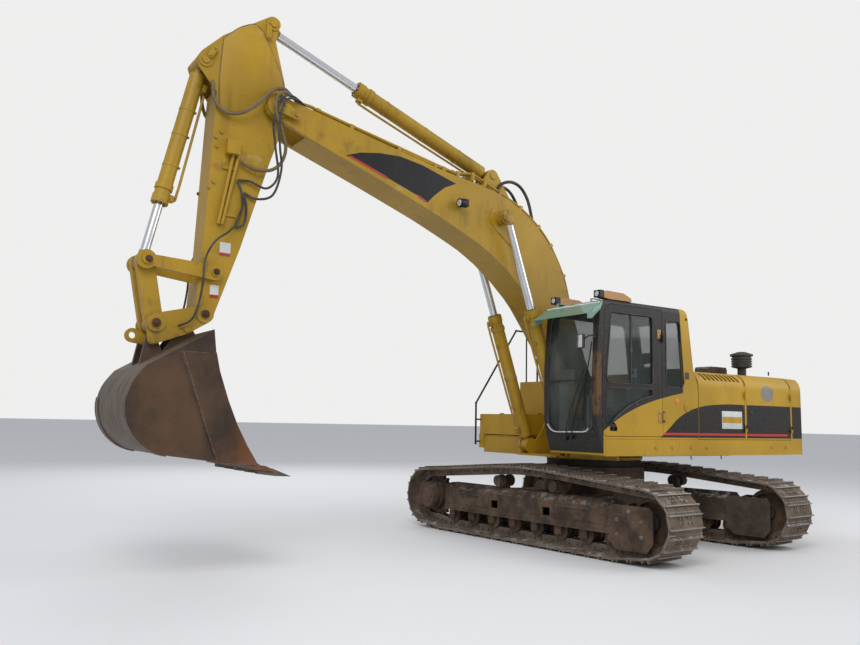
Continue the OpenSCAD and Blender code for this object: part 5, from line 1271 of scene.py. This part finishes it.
class EXCAVATOR_OT_cab_trim(bpy.types.Operator):
    """Door latch and hinges, caps, roof lamps, mirror and the visor's ends on the cab"""

    bl_idname = "excavator.cab_trim"
    bl_label = "Cab trim"

    def execute(self, context):
        bolt = context.scene.excavator_sizes.bolt
        door, plates = Form(), Form()
        for foot, top in HINGES:
            plates.block(at(HINGE_X + 0.022, CAB_SIDE, foot), at(0.300, CAB_SIDE + 0.006, top), 0.004)
            for z in (foot + 0.025, top - 0.025):
                plates.bolt(at(0.275, CAB_SIDE + 0.006, z), ACROSS, bolt * 0.7)
            knuckle = [at(HINGE_X, CAB_SIDE + 0.0175, z) for z in (foot + 0.01, top - 0.01)]
            door.round(*knuckle, 0.013, sides=16, soft=0.002)
        plates.done("door_hinge_plates", "tan", "upper")
        door.block(at(1.015, 1.4050, 1.490), at(1.105, 1.4190, 1.525), 0.006)
        door.cap(at(0.683, CAB_SIDE, 1.768), 0.009, 0.017, 0.014, 20, 0.002)
        door.round(at(0.752, 1.4080, 2.030), at(0.752, 1.4080, 2.845), 0.008, sides=8)
        door.block(at(0.735, 1.4060, 2.380), at(0.775, 1.4180, 2.440), 0.005)
        door.done("door_latch", "plastic", "cab_door")

        post, amber, caps = Form(), Form(), Form()
        post.cap(at(-0.232, CAB_SIDE, 1.770), 0.010, 0.052, 0.046, 28, 0.003)
        post.cap(at(-0.232, CAB_SIDE + 0.009, 1.770), 0.004, 0.014, sides=16, soft=0.001)
        amber.cap(at(-0.046, ON_CAB, 1.828), 0.0055, 0.036, 0.033, 28, 0.002)
        caps.cap(at(-0.245, CAB_SIDE, 2.880), 0.014, 0.016, sides=16, soft=0.003)
        for y, z in SCREEN_BOLTS:
            caps.bolt(on_screen(y, z, -0.001), (1, 0, 0), bolt * 0.7)
        caps.block(at(-0.285, CAB_SIDE - 0.0005, 2.110), at(-0.205, CAB_SIDE + 0.0035, 2.200), 0.003)
        post.done("post_cap", "body", "upper")
        amber.done("post_reflector", "amber", "upper")
        caps.done("cab_caps", "plastic", "upper")

        lens, rims = Form(), Form()
        for y in ROOF_LAMP_Y:
            rims.round(at(1.240, y, ROOF_LAMP_Z), at(1.262, y, ROOF_LAMP_Z), 0.043, 0.041, 30, 0.003)
            lens.round(at(1.258, y, ROOF_LAMP_Z), at(1.2645, y, ROOF_LAMP_Z), 0.036, 0.030, 30, 0.002)
        rims.done("roof_lamp_rims", "black", "upper")
        lens.done("roof_lamp_lenses", "lens", "upper")

        mirror, glass = Form(), Form()
        turned = Matrix.Translation(at(*MIRROR_PLACE)) @ Matrix.Rotation(MIRROR_TURN, 4, "Z")
        mirror.block((-0.022, -0.066, -0.088), (0.016, 0.066, 0.088), 0.020, turned)
        mirror.tube(smooth_route([at(*p) for p in MIRROR_ARM], 8), 0.010)
        mirror.round(at(1.296, 1.366, 2.470), at(1.296, 1.366, 2.590), 0.012, sides=16, soft=0.002)
        glass.block((-0.0245, -0.056, -0.078), (-0.0215, 0.056, 0.078), 0.001, turned)
        glass.block((0.0150, -0.052, -0.074), (0.0185, 0.052, 0.074), 0.001, turned)
        case = mirror.done("mirror_case", "plastic", "upper")
        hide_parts("side_mirror")
        glass.done("mirror_glass", "mirror", "upper")

        flaps, snow, holder = Form(), Form(), Form()
        for y, thick in VISOR_ENDS:
            flaps.plate(in_plane(VISOR_END, y), ACROSS * thick, 0.001)
        flaps.done("visor_flaps", "visor", "upper")
        row = [0.52 + 0.0203 * k for k in range(46)]
        lumpy = [at(1.300, y, 2.953 + 0.004 * math.sin(31 * y)) for y in row]
        snow.tube(smooth_route(lumpy, 2), 0.013, 8)
        snow.done("visor_snow", "snow", "upper")
        holder.block(at(1.262, 1.330, 2.615), at(1.270, 1.372, 2.730), 0.003)
        holder.done("red_holder", "red", "upper")
        return {"FINISHED"}


LEVER_Y, KEY_ROW, KEY_PITCH, CONSOLE_TOP = (0.645, 1.280), 6, 0.035, 2.0003
GRIP = ((0.0, 0.0), (0.030, 0.0), (0.032, 0.018), (0.019, 0.042), (0.014, 0.075), (0.017, 0.110),
        (0.022, 0.150), (0.024, 0.178), (0.017, 0.196), (0.0, 0.200))


class EXCAVATOR_OT_cab_inside(bpy.types.Operator):
    """Lever grips, keys and the display's screen inside the cab"""

    bl_idname = "excavator.cab_inside"
    bl_label = "Cab inside"

    def execute(self, context):
        grips, keys, screen = Form(), Form(), Form()
        for y in LEVER_Y:
            grips.lathe(GRIP, at(0.560, y, 2.0005), Vector((0.05, 0, 1)), 20)
            keys.round(at(0.565, y, 2.200), at(0.566, y, 2.209), 0.008, sides=12, soft=0.002)
            for k in range(KEY_ROW):
                x = 0.150 + KEY_PITCH * k
                keys.block(at(x, y - 0.012, CONSOLE_TOP), at(x + 0.022, y + 0.012, 2.008), 0.002)
        screen.block(at(1.056, 0.582, 2.040), at(1.0605, 0.748, 2.180), 0.001)
        grips.done("lever_grips", "plastic", "upper")
        keys.done("console_keys", "grey", "upper")
        screen.done("display_screen", "screen", "upper")
        return {"FINISHED"}


SEAT_PLACE, BACK_PLACE, BACK_LEAN = (0.285, 0.9625, 1.640), (0.030, 0.9625, 1.740), math.radians(-8)
CUSHIONS = (  # name, lowest and highest corner, leant or not, channels as (axis, place)
    ("seat_pad", (-0.24, -0.235, 0.0), (0.24, 0.235, 0.095), False, ((1, -0.15), (1, 0.15), (0, -0.02))),
    ("back_pad", (-0.045, -0.225, 0.0), (0.045, 0.225, 0.560), True,
     ((1, -0.14), (1, 0.14), (2, 0.20), (2, 0.40))),
    ("head_pad", (-0.035, -0.120, 0.585), (0.035, 0.120, 0.735), True, ((1, 0.0),)),
)
BELLOWS_FOLDS, FOLD_PITCH = 5, 0.030


class EXCAVATOR_OT_seat(bpy.types.Operator):
    """Stuffed seat, back and headrest on the sprung seat base"""

    bl_idname = "excavator.seat"
    bl_label = "Seat"

    def execute(self, context):
        level = Matrix.Translation(at(*SEAT_PLACE))
        leant = Matrix.Translation(at(*BACK_PLACE)) @ Matrix.Rotation(BACK_LEAN, 4, "Y")
        for name, low, high, leans, channels in CUSHIONS:
            cushion(name, low, high, leant if leans else level, channels)
        base = Form()
        base.block(at(0.070, 0.770, 1.4005), at(0.500, 1.155, 1.450), 0.010)
        for k in range(BELLOWS_FOLDS):
            low, high = 1.452 + FOLD_PITCH * k, 1.480 + FOLD_PITCH * k
            base.block(at(0.095 + 0.006 * (k % 2), 0.795, low), at(0.475, 1.130, high), 0.010)
        base.block(at(0.050, 0.745, 1.604), at(0.530, 1.180, 1.638), 0.010)
        for y in (-0.075, 0.075):
            base.round(leant @ Vector((0, y, 0.545)), leant @ Vector((0, y, 0.600)), 0.007, sides=10)
        case = base.done("seat_base", "plastic", "upper")
        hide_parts("cab_seat")
        return {"FINISHED"}


DRAIN_X, SILL_BOLTS_X, SILL_SIDE = (-0.335, -0.928), (-2.300, -1.980, -0.600, -0.300, 0.050, 0.350), 1.4195


class EXCAVATOR_OT_house_fittings(bpy.types.Operator):
    """Sign plate, locks, latches, drains, tank cap and sill bolts of the house"""

    bl_idname = "excavator.house_fittings"
    bl_label = "House fittings"

    def execute(self, context):
        bolt = context.scene.excavator_sizes.bolt
        sign, band, front, rear = Form(), Form(), Form(), Form()
        sign.block(at(-1.340, ON_CAB, 1.495), at(-0.920, ON_CAB + 0.003, 1.726), 0.001)
        band.block(at(-1.332, ON_CAB + 0.0025, 1.572), at(-0.928, ON_CAB + 0.0036, 1.652))
        front.cap(at(-1.360, ON_CAB, 1.800), 0.0075, 0.020, 0.017, 20, 0.002)
        rear.cap(at(-1.545, ON_CAB, 1.710), 0.0085, 0.028, 0.024, 24, 0.003)
        rear.block(at(-1.553, 1.4310, 1.690), at(-1.537, 1.4350, 1.730), 0.002)
        rear.cap(at(-1.460, ON_CAB, 1.581), 0.0045, 0.009, sides=16)
        sign.done("blank_sign", "white", "side_door_front")
        band.done("blank_sign_band", "body", "side_door_front")
        front.done("door_lock", "plastic", "side_door_front")
        rear.done("rear_door_lock", "plastic", "side_door_rear")

        parts, black, latch, pump = Form(), Form(), Form(), Form()
        for x in DRAIN_X:
            drain = [at(x, 1.392, 1.152), at(x, 1.392, 1.125), at(x, 1.397, 1.100)]
            parts.tube(smooth_route(drain, 5), RUBBER_RADIUS, 8)
        for x in SILL_BOLTS_X:
            for side in (1, -1):
                parts.bolt(at(x, side * SILL_SIDE, 1.250), ACROSS * side, bolt)
        tank_low, tank_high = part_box("fuel_tank")
        filler = Vector((tank_low.x + 0.20, tank_low.y + 0.30, tank_high.z - 0.001))
        black.round(filler, filler + Vector((0, 0, 0.039)), 0.062, 0.056, 32, 0.006)
        black.tube([at(-2.285, 1.200, 2.262), at(-2.285, 1.200, 2.318)], 0.010)
        lid_low, lid_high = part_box("toolbox_lid")
        latch.block((lid_low.x + 0.30, lid_low.y - 0.006, lid_high.z - 0.060),
                    (lid_low.x + 0.38, lid_low.y + 0.002, lid_high.z - 0.012), 0.004)
        pump.block(at(-0.600, -1.4265, 1.640), at(-0.560, -SILL_SIDE, 1.740), 0.004)
        pump.cap(at(-0.580, -1.4255, 1.690), -0.007, 0.017, 0.014, 20, 0.002)
        latch.done("toolbox_latch", "plastic", "toolbox_lid")
        pump.done("pump_door_latch", "plastic", "pump_door")
        black.done("house_caps", "plastic", "upper")
        parts.done("house_drains", "body", "upper")
        return {"FINISHED"}


OPERATORS = (
    EXCAVATOR_OT_stage,
    EXCAVATOR_OT_finishes,
    EXCAVATOR_OT_hoses,
    EXCAVATOR_OT_seat,
    EXCAVATOR_OT_window_trim,
    EXCAVATOR_OT_cab_trim,
    EXCAVATOR_OT_cab_inside,
    EXCAVATOR_OT_house_fittings,
    EXCAVATOR_OT_track_fittings,
    EXCAVATOR_OT_frame_fittings,
    EXCAVATOR_OT_arm_plates,
    EXCAVATOR_OT_ram_fittings,
    EXCAVATOR_OT_boom_lamp,
    EXCAVATOR_OT_bucket_fittings,
)


class EXCAVATOR_PT_panel(bpy.types.Panel):
    """The steps of the excavator's making"""

    bl_idname = "EXCAVATOR_PT_panel"
    bl_label = "Excavator"
    bl_space_type = "VIEW_3D"
    bl_region_type = "UI"
    bl_category = "Excavator"

    def draw(self, context):
        for group in (context.scene.excavator_colours, context.scene.excavator_sizes):
            for key in group.__annotations__:
                self.layout.prop(group, key)
        for operator in OPERATORS:
            self.layout.operator(operator.bl_idname)


CLASSES = (ExcavatorColours, ExcavatorSizes) + OPERATORS + (EXCAVATOR_PT_panel,)


def register():
    for part in CLASSES:
        bpy.utils.register_class(part)
    bpy.types.Scene.excavator_colours = PointerProperty(type=ExcavatorColours)
    bpy.types.Scene.excavator_sizes = PointerProperty(type=ExcavatorSizes)


def unregister():
    del bpy.types.Scene.excavator_sizes
    del bpy.types.Scene.excavator_colours
    for part in reversed(CLASSES):
        bpy.utils.unregister_class(part)


def main():
    """Makes the whole machine and its stage."""
    register()
    for operator in OPERATORS:
        step = operator.bl_idname.split(".")[1]
        getattr(bpy.ops.excavator, step)()


if __name__ == "__main__":
    main()
